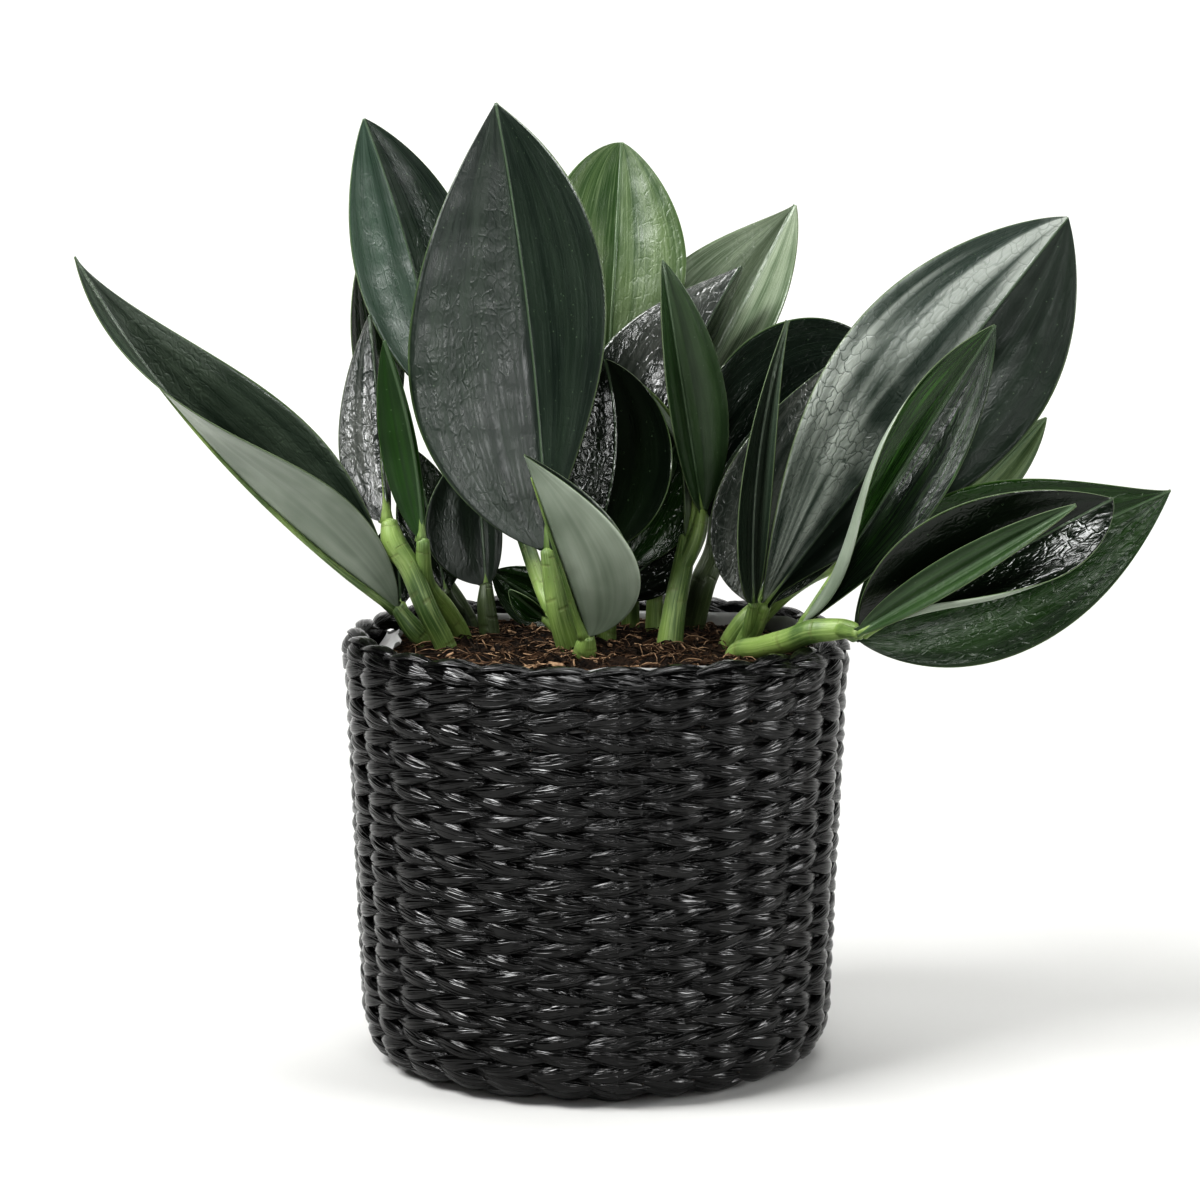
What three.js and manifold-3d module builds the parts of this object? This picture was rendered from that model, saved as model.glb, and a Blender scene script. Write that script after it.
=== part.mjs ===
// Potted dark-leaved aroid: thick glossy leaves on green petioles, rooted in soil that fills a film
// liner inside a black twined basket. Millimetres, +Z up. The origin is the centre of the flat
// underside of the basket, and -Y is the side that is usually seen.
import * as THREE from "three";
import { mergeVertices } from "three/addons/utils/BufferGeometryUtils.js";
import Module from "manifold-3d";

const wasm = await Module();
wasm.setup();

// Basket: rows of twining laid one on another. Each row shows as two lines of lobes, an upper and a
// lower one, and the topmost row turns over the rim
const BASKET_HEIGHT = 146;
const RIM_RADIUS = 84.2;
const FOOT_RADIUS = 78.6;
const UNDERSIDE_RADIUS = 66;
const CORNER_HEIGHT = 16;
const FLOOR_THICKNESS = 6;
const PLAIN_ROWS = 11;
const FIRST_ROW = 9.9;
const ROW_PITCH = 10.35;
const LINE_RISE = 2.3;
const BROAD_ROW = 125.6;
const BROAD_LINE_RISE = 3.4;
const LOBES_AROUND = 27;
const FIRST_LOBE_ANGLE = THREE.MathUtils.degToRad(-85);
const LOBE_RELIEF = 1.3;
const HOLLOW_RELIEF = -0.45;
const GROOVE_DEPTH = 1.7;
const RIM_START = 132.6;
const RIM_LINE = 139.4;
const RIM_INSET = 0.3;
const RIM_INNER_RADIUS = 77;
const RIM_TOP_HALF_WIDTH = 1.8;
const RIM_LOBE_RISE = 1;
const WALL_INNER_RADIUS = 76.6;
const WALL_INNER_TOP = 134.5;

// Liner: a thin film cup with an uneven top edge
const TOUCH_GAP = 0.4;
const FILM_THICKNESS = 0.7;
const LINER_TOP = 141.5;
const LINER_EDGE_WAVE = 1.5;
const LINER_SIDES = 36;
const LINER_LEAN = 0.6;

// Soil: fills the liner and mounds a little towards the middle
const SOIL_EDGE_TOP = 136.5;
const SOIL_MOUND = 2.2;
const SOIL_LUMP = 0.9;
const SOIL_SIDES = 36;
const SOIL_SHOULDER = 3;
const SOIL_EDGE_INSET = 0.8;
const SOIL_RINGS = 8;
const HOLE_CLEARANCE = 0.4;

// Stems and petioles
const STEM_SIDES = 8;
const STEM_STEP = 7;
const FEWEST_STEM_STEPS = 3;

// Leaf blades
const BLADE_THICKNESS = 1.1;
const MARGIN_THICKNESS = 0.7;
const BLADE_COLUMNS = 2;
const BLADE_ROW_LENGTH = 11;
const FEWEST_BLADE_ROWS = 6;
const MOST_BLADE_ROWS = 12;
const BLADE_END = 0.996;
const FOOT_HALF_WIDTH = 1.3;
const TIP_HALF_WIDTH = 0.5;
const SEAT_GAP = 0.35;
const FOLD_CLEARANCE = 0.2;
const ROW_CROWDING = 0.08;

const MATERIALS = {
  basket: new THREE.MeshStandardMaterial({ color: 0x1b1b1d, roughness: 0.4, metalness: 0 }),
  liner: new THREE.MeshStandardMaterial({ color: 0xb9bab8, roughness: 0.3, metalness: 0 }),
  soil: new THREE.MeshStandardMaterial({ color: 0x3b271b, roughness: 0.95, metalness: 0 }),
  stem: new THREE.MeshStandardMaterial({ color: 0x6b8a45, roughness: 0.45, metalness: 0 }),
  leaf: new THREE.MeshStandardMaterial({ color: 0x1d2b22, roughness: 0.3, metalness: 0 }),
};

// Stems: each is a trunk that stands in the soil, with petioles that leave it further up. A point is
// [x, y, z, radius]; the last point of each run is where a blade begins.
const STEMS = [
  {
    name: "stem_far_left",
    trunk: [[-56.6, 12.5, 126, 3.8], [-56.6, 12.5, 137, 3.8], [-62.4, 10, 144.4, 3.6],
      [-67.4, 10, 151.2, 2.5]],
    petioles: [[[-58.5, 12, 140, 2.2], [-64, 18, 146, 2], [-66.9, 23.2, 150.2, 1.7]]],
  },
  {
    name: "stem_left_fork",
    trunk: [[-50.2, 2, 126, 3.8], [-50.2, 2, 137, 3.8], [-56.9, -2, 152.7, 3.8], [-63, -1, 167.3, 3.8],
      [-68, 0, 175, 4.2], [-69.6, 1.6, 181.8, 2.8]],
    petioles: [[[-46, 24, 126, 3.8], [-46, 24, 137, 3.8], [-51, 13, 150, 3.4], [-57.4, 2, 161, 3.2],
      [-58, -3.2, 176, 2.2]]],
  },
  {
    name: "stem_back_left",
    trunk: [[-43, 50, 126, 3], [-43, 50, 137, 3], [-60, 54, 165, 2.6], [-70, 52, 190, 2.4],
      [-73.6, 50, 206.8, 2]],
    petioles: [[[-47, 50.5, 142, 2.6], [-51, 46, 148, 2.4], [-52.2, 44.2, 152, 1.8]]],
  },
  {
    name: "stem_dark_left",
    trunk: [[-36.6, 31, 126, 3.6], [-36.6, 31, 137, 3.6], [-37.9, 31.4, 149, 3.2], [-38, 34, 155.4, 2.2]],
    petioles: [],
  },
  {
    name: "stem_front_fork",
    trunk: [[-8.4, -4, 126, 4.6], [-8.4, -4, 137, 4.6], [-12, -8, 151.5, 4.1], [-14.4, -8, 163.4, 3.5],
      [-16.2, -8, 173.4, 2.4]],
    petioles: [[[-10, -6, 144, 3.2], [-16, -2, 155, 3], [-20.3, 8, 164, 2.8], [-26, 20, 178, 2.6],
      [-36, 26, 200, 2.4], [-46, 36, 210, 2.3], [-53.6, 44.6, 218.1, 2]],
    [[-12.6, -6, 146, 2.2], [-17.4, -5, 150, 1.5]]],
  },
  {
    name: "stem_front_small",
    trunk: [[-4, -15.5, 126, 4.2], [-4, -15.5, 137, 4.2], [-3.4, -20, 143, 3.6], [-2.8, -22, 146.6, 2.4]],
    petioles: [],
  },
  {
    name: "stem_middle",
    trunk: [[3.4, 10, 126, 3.6], [3.4, 10, 137, 3.6], [4, 10, 148, 3], [5.6, 17, 157, 2.4],
      [6.8, 21, 163, 1.9]],
    petioles: [[[3.9, 9, 147, 2.6], [1, 4, 162, 2.2], [-1.7, 0.8, 172.2, 1.8]]],
  },
  {
    name: "stem_back_low",
    trunk: [[1, 38, 126, 3], [1, 38, 137, 3], [4, 35, 149, 2.6], [5.2, 34.2, 152, 1.9]],
    petioles: [],
  },
  {
    name: "stem_soil_left",
    trunk: [[-10, 40, 126, 2.6], [-10, 40, 139, 2.4], [-11.6, 40.4, 143.6, 1.7]],
    petioles: [],
  },
  {
    name: "stem_centre",
    trunk: [[24.7, 3, 126, 4.6], [24.7, 3, 137, 4.6], [26.7, 5, 152.7, 3.9], [29.4, 9, 165.9, 3.5],
      [30.6, 12, 175.6, 2.4]],
    petioles: [[[29, 8.5, 164, 2.8], [34, 8, 176, 2.5], [35.7, 9.4, 184.4, 1.9]],
      [[29.2, 9, 164.5, 2.8], [35, 17, 175, 2.5], [36.7, 19.8, 181.8, 1.9]]],
  },
  {
    name: "stem_back_centre",
    trunk: [[20, 44, 126, 3], [20, 44, 137, 3], [21, 44, 165, 2.6], [21, 41, 185, 2.4],
      [20.2, 34.8, 195.4, 1.9]],
    petioles: [],
  },
  {
    name: "stem_back_tall",
    trunk: [[12, 47, 126, 3.2], [12, 47, 137, 3.2], [11, 51, 180, 2.8], [4.4, 50.2, 228.2, 2.1]],
    petioles: [],
  },
  {
    name: "stem_right_back",
    trunk: [[33, 45, 126, 4.8], [33, 45, 137, 4.8], [36.5, 40, 154, 4.6], [42, 45, 168, 4],
      [41, 58, 195, 3], [34, 63, 216, 2.2]],
    petioles: [],
  },
  {
    name: "stem_right_fork",
    trunk: [[44.3, 6, 126, 3.6], [44.3, 6, 137, 3.6], [49.2, 2.6, 146.9, 3.4], [54, 2.2, 153, 2.4]],
    petioles: [[[49, 0, 126, 3.6], [49, 0, 137, 3.6], [53.2, -6, 147.4, 3.4], [56.4, -9.6, 155.4, 2.4]],
      [[50.8, -3, 142, 2.6], [51.8, -9, 150, 2.2], [52.6, -12.6, 156.4, 1.7]]],
  },
  {
    name: "stem_arching_right",
    trunk: [[52, 41, 126, 4.4], [52, 41, 137, 4.4], [60.5, 39, 148.8, 4.2], [72.5, 41, 157.6, 3.8],
      [84, 44, 162, 3.4], [102, 39, 168.5, 2.6], [117.4, 30.4, 174.4, 2.1]],
    petioles: [],
  },
  {
    name: "stem_trailing",
    trunk: [[46.6, -8.6, 126, 3.4], [46.6, -9.4, 138, 3.5], [55.8, -21, 142.9, 3.8], [64.5, -33, 147.4, 4],
      [70.5, -38.5, 150.8, 4], [77, -42, 152, 3.7], [82, -45, 152.6, 3.1], [86.3, -48.8, 151.7, 2.1]],
    petioles: [[[79, -43.4, 152.4, 2.4], [81.6, -52, 152.8, 2], [84.2, -58.7, 153.4, 1.6]],
      [[76, -41, 151.8, 2.8], [81.5, -34.5, 150.6, 2.5], [85.2, -30.8, 147.8, 2]],
      [[65, -33, 148, 2.6], [66.6, -30, 149.4, 2.3], [68.4, -28.6, 151.8, 1.8]]],
  },
];

// Blades: each is seated on the end of a run of its stem, 0 for the trunk and then the petioles in
// order. The tip of the midrib and the half widths, left and right, are real sizes. turn swings the
// upper face round the midrib, 0 facing -Y; fold is the rise of each half at the base, and foldTip
// at the tip; bow and sway bend the midrib out of and across the face; low and high shape the left
// and the right outline towards the base and towards the tip.
const BLADE_DEFAULTS = {
  run: 0, turn: 0, twist: 0, fold: 15, foldTip: null, open: 1, bow: 0, sway: 0, wave: 0,
  low: [0.75, 0.75], high: [0.9, 0.9],
};
const BLADES = [
  { name: "leaf_far_left", stem: "stem_far_left", tip: [-170.5, -20, 272], halves: [39, 32], turn: 54,
    twist: -18, fold: 88, foldTip: 5, open: 0.45, bow: -13, low: [0.73, 0.9], high: [1.15, 1.5] },
  { name: "leaf_upper_left", stem: "stem_front_fork", run: 1, tip: [-80.3, 60, 314.7], halves: [26, 23],
    turn: 31, sway: 3 },
  { name: "leaf_tall_centre", stem: "stem_front_fork", tip: [-33.6, 20, 321], halves: [42, 35],
    turn: -21, fold: 20, sway: 3, wave: 0.8, low: [0.69, 1.4], high: [1, 1.05] },
  { name: "leaf_small_front", stem: "stem_front_small", tip: [-23.2, -40, 209], halves: [25.5, 22.5],
    turn: 80, fold: 80, foldTip: 74, low: [0.55, 0.55], high: [1, 1] },
  { name: "leaf_back_centre", stem: "stem_back_tall", tip: [9, 75, 306], halves: [26, 25.5],
    low: [0.6, 0.6], high: [0.62, 0.8] },
  { name: "leaf_back_right", stem: "stem_right_back", tip: [70, 79, 284], halves: [31, 25], turn: -24,
    fold: 40, low: [0.6, 0.6], high: [1.2, 0.9] },
  { name: "leaf_narrow_upright", stem: "stem_centre", run: 1, tip: [22, 0, 269.6], halves: [15.5, 14.5],
    turn: 40, fold: 30, low: [0.7, 0.7] },
  { name: "leaf_edge_on", stem: "stem_centre", tip: [2.7, 12, 235], halves: [12, 8], turn: -103,
    fold: 10, bow: -13, low: [0.5, 0.5], high: [1.2, 1.2] },
  { name: "leaf_black_glossy", stem: "stem_middle", run: 1, tip: [3, 9, 235.8], halves: [24, 24],
    turn: -15, fold: 24, sway: 6 },
  { name: "leaf_striped_tip", stem: "stem_back_centre", tip: [50, 46, 264.6], halves: [31.2, 20.8],
    turn: 32, fold: -44, sway: -4, low: [0.52, 0.98], high: [1.17, 0.63] },
  { name: "leaf_streaked_low", stem: "stem_middle", tip: [32, 35, 213.8], halves: [17, 17], fold: 10 },
  { name: "leaf_dark_low", stem: "stem_back_low", tip: [35.8, 34, 178.1], halves: [12, 12], fold: 10 },
  { name: "leaf_hooked_right", stem: "stem_centre", run: 2, tip: [99, 45, 231], halves: [26, 29],
    sway: -12, low: [0.94, 0.56], high: [0.68, 1.12] },
  { name: "leaf_ovate_right", stem: "stem_right_fork", tip: [85.6, 25, 237], halves: [26.5, 27],
    fold: 12, low: [0.5, 0.75], high: [1, 0.6] },
  { name: "leaf_rolled_young", stem: "stem_right_fork", run: 2, tip: [63.3, -12, 250.5],
    halves: [12, 10.5], fold: 65, sway: -4, low: [0.5, 0.75], high: [1.2, 1.2] },
  { name: "leaf_large_right", stem: "stem_right_fork", run: 1, tip: [155.4, -10, 284.4],
    halves: [38.5, 34], fold: 60, foldTip: 5, open: 1.5, wave: 0.8, low: [0.78, 1.3],
    high: [0.85, 0.9] },
  { name: "leaf_front_right", stem: "stem_trailing", run: 3, tip: [130, -30, 250.5],
    halves: [21.5, 16.5], turn: 14, fold: 86, foldTip: 20, open: 2, low: [0.85, 0.85] },
  { name: "leaf_low_right", stem: "stem_trailing", tip: [161.5, -90, 201], halves: [26, 20.5],
    turn: -25, twist: 12, fold: 64, foldTip: 5, open: 0.55, low: [0.78, 1.1], high: [0.98, 0.7] },
  { name: "leaf_spear", stem: "stem_trailing", run: 1, tip: [149, -98, 200], halves: [7, 7], turn: -30,
    fold: 70 },
  { name: "leaf_rear_low_right", stem: "stem_trailing", run: 2, tip: [189, -25, 195.7],
    halves: [31, 28], fold: 7, wave: 0.8, low: [0.8, 0.75], high: [1.25, 0.95] },
  { name: "leaf_behind_large", stem: "stem_arching_right", tip: [153.5, 25, 214.5], halves: [12, 10],
    turn: 30 },
  { name: "leaf_green_upright", stem: "stem_left_fork", run: 1, tip: [-70.5, -2, 243],
    halves: [10.5, 5], turn: 38, fold: -38, sway: 3 },
  { name: "leaf_glossy_left", stem: "stem_left_fork", tip: [-76, 12, 250.5], halves: [14.5, 11],
    turn: 42, fold: -42, low: [0.5, 0.75], high: [0.95, 0.9] },
  { name: "leaf_back_left", stem: "stem_back_left", tip: [-82.5, 50, 263.7], halves: [16, 16], turn: 60,
    fold: 10 },
  { name: "leaf_dark_left", stem: "stem_dark_left", tip: [-41.4, 40, 205.2], halves: [20, 7],
    low: [0.6, 0.6] },
  { name: "leaf_dark_narrow", stem: "stem_back_left", run: 1, tip: [-63, 50, 200.6], halves: [12, 12] },
  { name: "leaf_low_left", stem: "stem_far_left", run: 1, tip: [-68.9, 34, 178.1], halves: [11, 7] },
  { name: "leaf_at_soil", stem: "stem_soil_left", tip: [-36.7, 56, 157], halves: [10, 10], fold: 10,
    low: [0.6, 0.6] },
  { name: "leaf_bract", stem: "stem_front_fork", run: 2, tip: [-29, -8, 160], halves: [4.5, 4.5],
    turn: -20, fold: 40 },
];

// Closed body from rings of points: rings[0] and the last ring are capped by a fan from their middle
function capped(rings) {
  const positions = [];
  const indices = [];
  const count = rings[0].length;
  for (const ring of rings) {
    for (const p of ring) positions.push(p.x, p.y, p.z);
  }
  const at = (i, k) => i * count + (k % count);
  for (let i = 0; i + 1 < rings.length; i++) {
    for (let k = 0; k < count; k++) {
      indices.push(at(i, k), at(i, k + 1), at(i + 1, k + 1));
      indices.push(at(i, k), at(i + 1, k + 1), at(i + 1, k));
    }
  }
  const caps = [[0, true], [rings.length - 1, false]];
  for (const [row, first] of caps) {
    const middle = rings[row].reduce((sum, p) => sum.add(p), new THREE.Vector3()).divideScalar(count);
    const centre = positions.length / 3;
    positions.push(middle.x, middle.y, middle.z);
    for (let k = 0; k < count; k++) {
      if (first) indices.push(centre, at(row, k + 1), at(row, k));
      else indices.push(centre, at(row, k), at(row, k + 1));
    }
  }
  return geometryOf(positions, indices);
}

function geometryOf(positions, indices) {
  const geometry = new THREE.BufferGeometry();
  geometry.setAttribute("position", new THREE.Float32BufferAttribute(positions, 3));
  geometry.setIndex(indices);
  return geometry;
}

// Solids for joining and cutting
function solidOf(geometry) {
  const merged = mergeVertices(geometry, 1e-3);
  return new wasm.Manifold(new wasm.Mesh({
    numProp: 3,
    vertProperties: merged.attributes.position.array,
    triVerts: new Uint32Array(merged.index.array),
  }));
}

function geometryOfSolid(solid) {
  const mesh = solid.getMesh();
  return geometryOf(Array.from(mesh.vertProperties), Array.from(mesh.triVerts));
}

// Ring of points round the Z axis; radiusAt and heightAt take the angle and the number of the point
function ringRound(sides, radiusAt, heightAt, start = 0) {
  const ring = [];
  for (let k = 0; k < sides; k++) {
    const angle = start + (2 * Math.PI * k) / sides;
    const radius = radiusAt(angle, k);
    ring.push(new THREE.Vector3(radius * Math.cos(angle), radius * Math.sin(angle), heightAt(angle, k)));
  }
  return ring;
}

// Basket outer wall radius without its relief
function wallRadius(z) {
  const taper = THREE.MathUtils.lerp(FOOT_RADIUS, RIM_RADIUS, z / RIM_START);
  if (z >= CORNER_HEIGHT) return taper;
  const rise = 1 - z / CORNER_HEIGHT;
  return taper - (taper - UNDERSIDE_RADIUS) * (1 - Math.sqrt(Math.max(0, 1 - rise * rise)));
}

// Basket: a lobe stands out at every other point of a line and a hollow lies between, and a groove
// runs round between each row and the next
function makeBasket() {
  const sides = 2 * LOBES_AROUND;
  const relief = (k) => (k % 2 === 0 ? LOBE_RELIEF : HOLLOW_RELIEF);
  const ring = (radiusAt, heightAt) => ringRound(sides, radiusAt, heightAt, FIRST_LOBE_ANGLE);
  const flat = (radius, z) => ring(() => radius, () => z);
  const line = (z) => ring((angle, k) => wallRadius(z) + relief(k), () => z);
  const groove = (z) => flat(wallRadius(z) - GROOVE_DEPTH, z);
  const rings = [flat(UNDERSIDE_RADIUS, 0)];
  for (let row = 0; row < PLAIN_ROWS; row++) {
    const middle = FIRST_ROW + ROW_PITCH * row;
    rings.push(line(middle - LINE_RISE), line(middle + LINE_RISE));
    rings.push(groove(middle + ROW_PITCH / 2));
  }
  rings.push(line(BROAD_ROW - BROAD_LINE_RISE), line(BROAD_ROW + BROAD_LINE_RISE));
  rings.push(groove(RIM_START));
  const rimMiddle = (RIM_RADIUS + RIM_INNER_RADIUS) / 2;
  const rimTop = (angle, k) => BASKET_HEIGHT - (k % 2 === 0 ? 0 : RIM_LOBE_RISE);
  rings.push(ring((angle, k) => RIM_RADIUS - RIM_INSET + relief(k), () => RIM_LINE));
  rings.push(ring(() => rimMiddle + RIM_TOP_HALF_WIDTH, rimTop));
  rings.push(ring(() => rimMiddle - RIM_TOP_HALF_WIDTH, rimTop));
  rings.push(flat(RIM_INNER_RADIUS, RIM_LINE));
  rings.push(flat(WALL_INNER_RADIUS, WALL_INNER_TOP));
  rings.push(flat(WALL_INNER_RADIUS, FLOOR_THICKNESS));
  return capped(rings);
}

// Liner: a film cup against the inside of the basket
function makeLiner() {
  const outer = WALL_INNER_RADIUS - TOUCH_GAP;
  const inner = outer - FILM_THICKNESS;
  const floor = FLOOR_THICKNESS + TOUCH_GAP;
  const edge = (angle) => LINER_TOP + LINER_EDGE_WAVE * Math.sin(3 * angle + 0.6) * Math.cos(2 * angle);
  const flat = (radius, z) => ringRound(LINER_SIDES, () => radius, () => z);
  return capped([
    flat(outer, floor),
    flat(outer, WALL_INNER_TOP),
    ringRound(LINER_SIDES, () => outer - LINER_LEAN, edge),
    ringRound(LINER_SIDES, () => inner - LINER_LEAN, edge),
    flat(inner, WALL_INNER_TOP),
    flat(inner, floor + FILM_THICKNESS),
  ]);
}

// Soil: lumpy on top by a sum of waves, with a plain hole round each stem
function soilTop(x, y) {
  const radius = Math.hypot(x, y) / (WALL_INNER_RADIUS - 1);
  const mound = SOIL_MOUND * (1 - radius * radius);
  const lumps = Math.sin(0.31 * x + 0.7) * Math.cos(0.27 * y) + Math.sin(0.19 * x - 0.36 * y + 2.1);
  return SOIL_EDGE_TOP + mound + SOIL_LUMP * lumps;
}

function makeSoil(holes) {
  const radius = WALL_INNER_RADIUS - 2 * TOUCH_GAP - FILM_THICKNESS;
  const bottom = FLOOR_THICKNESS + 2 * TOUCH_GAP + FILM_THICKNESS;
  const rings = [
    ringRound(SOIL_SIDES, () => radius, () => bottom),
    ringRound(SOIL_SIDES, () => radius, () => SOIL_EDGE_TOP - SOIL_SHOULDER),
  ];
  for (let ring = SOIL_RINGS; ring >= 1; ring--) {
    const r = ((radius - SOIL_EDGE_INSET) * ring) / SOIL_RINGS;
    const height = (angle) => soilTop(r * Math.cos(angle), r * Math.sin(angle));
    rings.push(ringRound(SOIL_SIDES, () => r, height));
  }
  let solid = solidOf(capped(rings));
  for (const hole of holes) solid = solid.subtract(hole);
  return geometryOfSolid(solid);
}

// Smooth curve through the first three numbers of each point
function curveThrough(points) {
  const places = points.map(([x, y, z]) => new THREE.Vector3(x, y, z));
  return new THREE.CatmullRomCurve3(places, false, "centripetal");
}

// Tapered run of stem through [x, y, z, radius] points; grow widens it for a hole
function runGeometry(points, grow = 0) {
  const curve = curveThrough(points);
  const radii = curveThrough(points.map((point, i) => [point[3], i, 0]));
  const steps = Math.max(FEWEST_STEM_STEPS, Math.ceil(curve.getLength() / STEM_STEP));
  const frames = curve.computeFrenetFrames(steps, false);
  const rings = [];
  for (let i = 0; i <= steps; i++) {
    const centre = curve.getPointAt(i / steps);
    const share = curve.getUtoTmapping(i / steps);
    const radius = radii.getPoint(share).x + grow;
    const ring = [];
    for (let k = 0; k < STEM_SIDES; k++) {
      const angle = (2 * Math.PI * k) / STEM_SIDES;
      const spoke = frames.normals[i].clone().multiplyScalar(Math.cos(angle) * radius);
      spoke.addScaledVector(frames.binormals[i], Math.sin(angle) * radius);
      ring.push(centre.clone().add(spoke));
    }
    rings.push(ring);
  }
  return capped(rings);
}

function stemSolid(stem, grow = 0) {
  const runs = [stem.trunk, ...stem.petioles];
  return runs.map((run) => solidOf(runGeometry(run, grow))).reduce((sum, run) => sum.add(run));
}

// Outline of one half: 0 at the base and the tip, 1 where it is widest
function outline(t, low, high) {
  const widest = low / (low + high);
  return Math.pow(t / widest, low) * Math.pow((1 - t) / (1 - widest), high);
}

// Foot of a blade: just clear of the cut end of its run, however the two meet
function footOf(leaf, tip) {
  const stem = STEMS.find((candidate) => candidate.name === leaf.stem);
  const curve = curveThrough([stem.trunk, ...stem.petioles][leaf.run]);
  const end = curve.getPoint(1);
  const forward = curve.getTangent(1);
  const axis = tip.clone().sub(end).normalize();
  const reach = FOOT_HALF_WIDTH * Math.sqrt(1 - Math.pow(axis.dot(forward), 2));
  return end.addScaledVector(axis, (SEAT_GAP + reach) / axis.dot(forward));
}

// Blade: a folded, bowed sheet with its own thickness, split into triangles alike on both faces
function makeBlade(settings) {
  const leaf = { ...BLADE_DEFAULTS, ...settings };
  const tip = new THREE.Vector3(...leaf.tip);
  const base = footOf(leaf, tip);
  const along = tip.clone().sub(base);
  const length = along.length();
  const axis = along.clone().normalize();
  const face = new THREE.Vector3(0, -1, 0);
  face.addScaledVector(axis, -face.dot(axis)).normalize();
  face.applyAxisAngle(axis, THREE.MathUtils.degToRad(leaf.turn));
  const across = axis.clone().cross(face);
  const foldTip = leaf.foldTip === null ? leaf.fold : leaf.foldTip;
  const midrib = (t) => base.clone().addScaledVector(along, t)
    .addScaledVector(face, leaf.bow * 4 * t * (1 - t))
    .addScaledVector(across, leaf.sway * 4 * t * (1 - t));
  const wantedRows = Math.round(length / BLADE_ROW_LENGTH);
  const rows = THREE.MathUtils.clamp(wantedRows, FEWEST_BLADE_ROWS, MOST_BLADE_ROWS);
  const grid = [];
  for (let i = 0; i <= rows; i++) {
    const even = i / rows;
    const crowded = even - ROW_CROWDING * Math.sin(2 * Math.PI * even);
    const t = BLADE_END * crowded;
    const middle = midrib(t);
    const ahead = midrib(t + 0.005).sub(midrib(t - 0.005)).normalize();
    const up = face.clone().addScaledVector(ahead, -face.dot(ahead)).normalize();
    up.applyAxisAngle(ahead, THREE.MathUtils.degToRad(leaf.twist) * t * t);
    const side = ahead.clone().cross(up);
    const fold = THREE.MathUtils.degToRad(foldTip + (leaf.fold - foldTip) * Math.pow(1 - t, leaf.open));
    const row = [];
    for (let j = -BLADE_COLUMNS; j <= BLADE_COLUMNS; j++) {
      const sign = Math.sign(j);
      const hand = sign < 0 ? 0 : 1;
      const share = Math.abs(j) / BLADE_COLUMNS;
      const least = THREE.MathUtils.lerp(FOOT_HALF_WIDTH, TIP_HALF_WIDTH, t);
      const half = Math.max(least, leaf.halves[hand] * outline(t, leaf.low[hand], leaf.high[hand]));
      const spread = (BLADE_THICKNESS / 2 + FOLD_CLEARANCE) * Math.abs(Math.sin(fold));
      const ripple = leaf.wave * Math.sin(3 * Math.PI * t + sign * 0.8) * share * share * 4 * t * (1 - t);
      const point = middle.clone()
        .addScaledVector(side, sign * (share * half * Math.cos(fold) + spread))
        .addScaledVector(up, share * half * Math.sin(fold) + ripple);
      const lift = up.clone().multiplyScalar(Math.cos(fold)).addScaledVector(side, -sign * Math.sin(fold));
      const normal = sign === 0 ? up.clone() : lift.normalize();
      const thickness = THREE.MathUtils.lerp(BLADE_THICKNESS, MARGIN_THICKNESS, share);
      row.push({
        top: point.clone().addScaledVector(normal, thickness / 2),
        under: point.clone().addScaledVector(normal, -thickness / 2),
      });
    }
    grid.push(row);
  }
  return sheetGeometry(grid);
}

// Closed sheet from a grid of top and under points
function sheetGeometry(grid) {
  const columns = grid[0].length;
  const positions = [];
  for (const row of grid) {
    for (const { top, under } of row) positions.push(top.x, top.y, top.z, under.x, under.y, under.z);
  }
  const top = (i, j) => 2 * (i * columns + j);
  const under = (i, j) => top(i, j) + 1;
  const indices = [];
  const quad = (a, b, c, d) => indices.push(a, b, c, a, c, d);
  for (let i = 0; i + 1 < grid.length; i++) {
    for (let j = 0; j + 1 < columns; j++) {
      quad(top(i, j), top(i, j + 1), top(i + 1, j + 1), top(i + 1, j));
      indices.push(under(i, j), under(i + 1, j + 1), under(i, j + 1));
      indices.push(under(i, j), under(i + 1, j), under(i + 1, j + 1));
    }
    quad(under(i, 0), top(i, 0), top(i + 1, 0), under(i + 1, 0));
    quad(top(i, columns - 1), under(i, columns - 1), under(i + 1, columns - 1), top(i + 1, columns - 1));
  }
  const last = grid.length - 1;
  for (let j = 0; j + 1 < columns; j++) {
    quad(under(0, j), under(0, j + 1), top(0, j + 1), top(0, j));
    quad(top(last, j), top(last, j + 1), under(last, j + 1), under(last, j));
  }
  return geometryOf(positions, indices);
}

function meshOf(name, geometry, material) {
  const mesh = new THREE.Mesh(geometry, material);
  mesh.name = name;
  return mesh;
}

const plant = new THREE.Group();
for (const stem of STEMS) {
  plant.add(meshOf(stem.name, geometryOfSolid(stemSolid(stem)), MATERIALS.stem));
}
for (const blade of BLADES) {
  plant.add(meshOf(blade.name, makeBlade(blade), MATERIALS.leaf));
}

const pot = new THREE.Group();
pot.add(meshOf("basket", makeBasket(), MATERIALS.basket));
pot.add(meshOf("liner", makeLiner(), MATERIALS.liner));
pot.add(meshOf("soil", makeSoil(STEMS.map((stem) => stemSolid(stem, HOLE_CLEARANCE))), MATERIALS.soil));

const part = new THREE.Group();
part.add(pot);
part.add(plant);

export default part;
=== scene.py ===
# %% [markdown]
# # A dark-leaved aroid in a twined basket
# A potted aroid with thick, glossy, nearly black leaves on green petioles. It stands in bark and
# coir soil, held by a film liner inside a black basket of twined flat strands.
# The CAD frame gives every piece its place. This script replaces each plain solid with a finer one
# of the same shape, and gives it a procedural material.

import math
import random

import bmesh
import bpy
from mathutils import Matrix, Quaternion, Vector, noise


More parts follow.
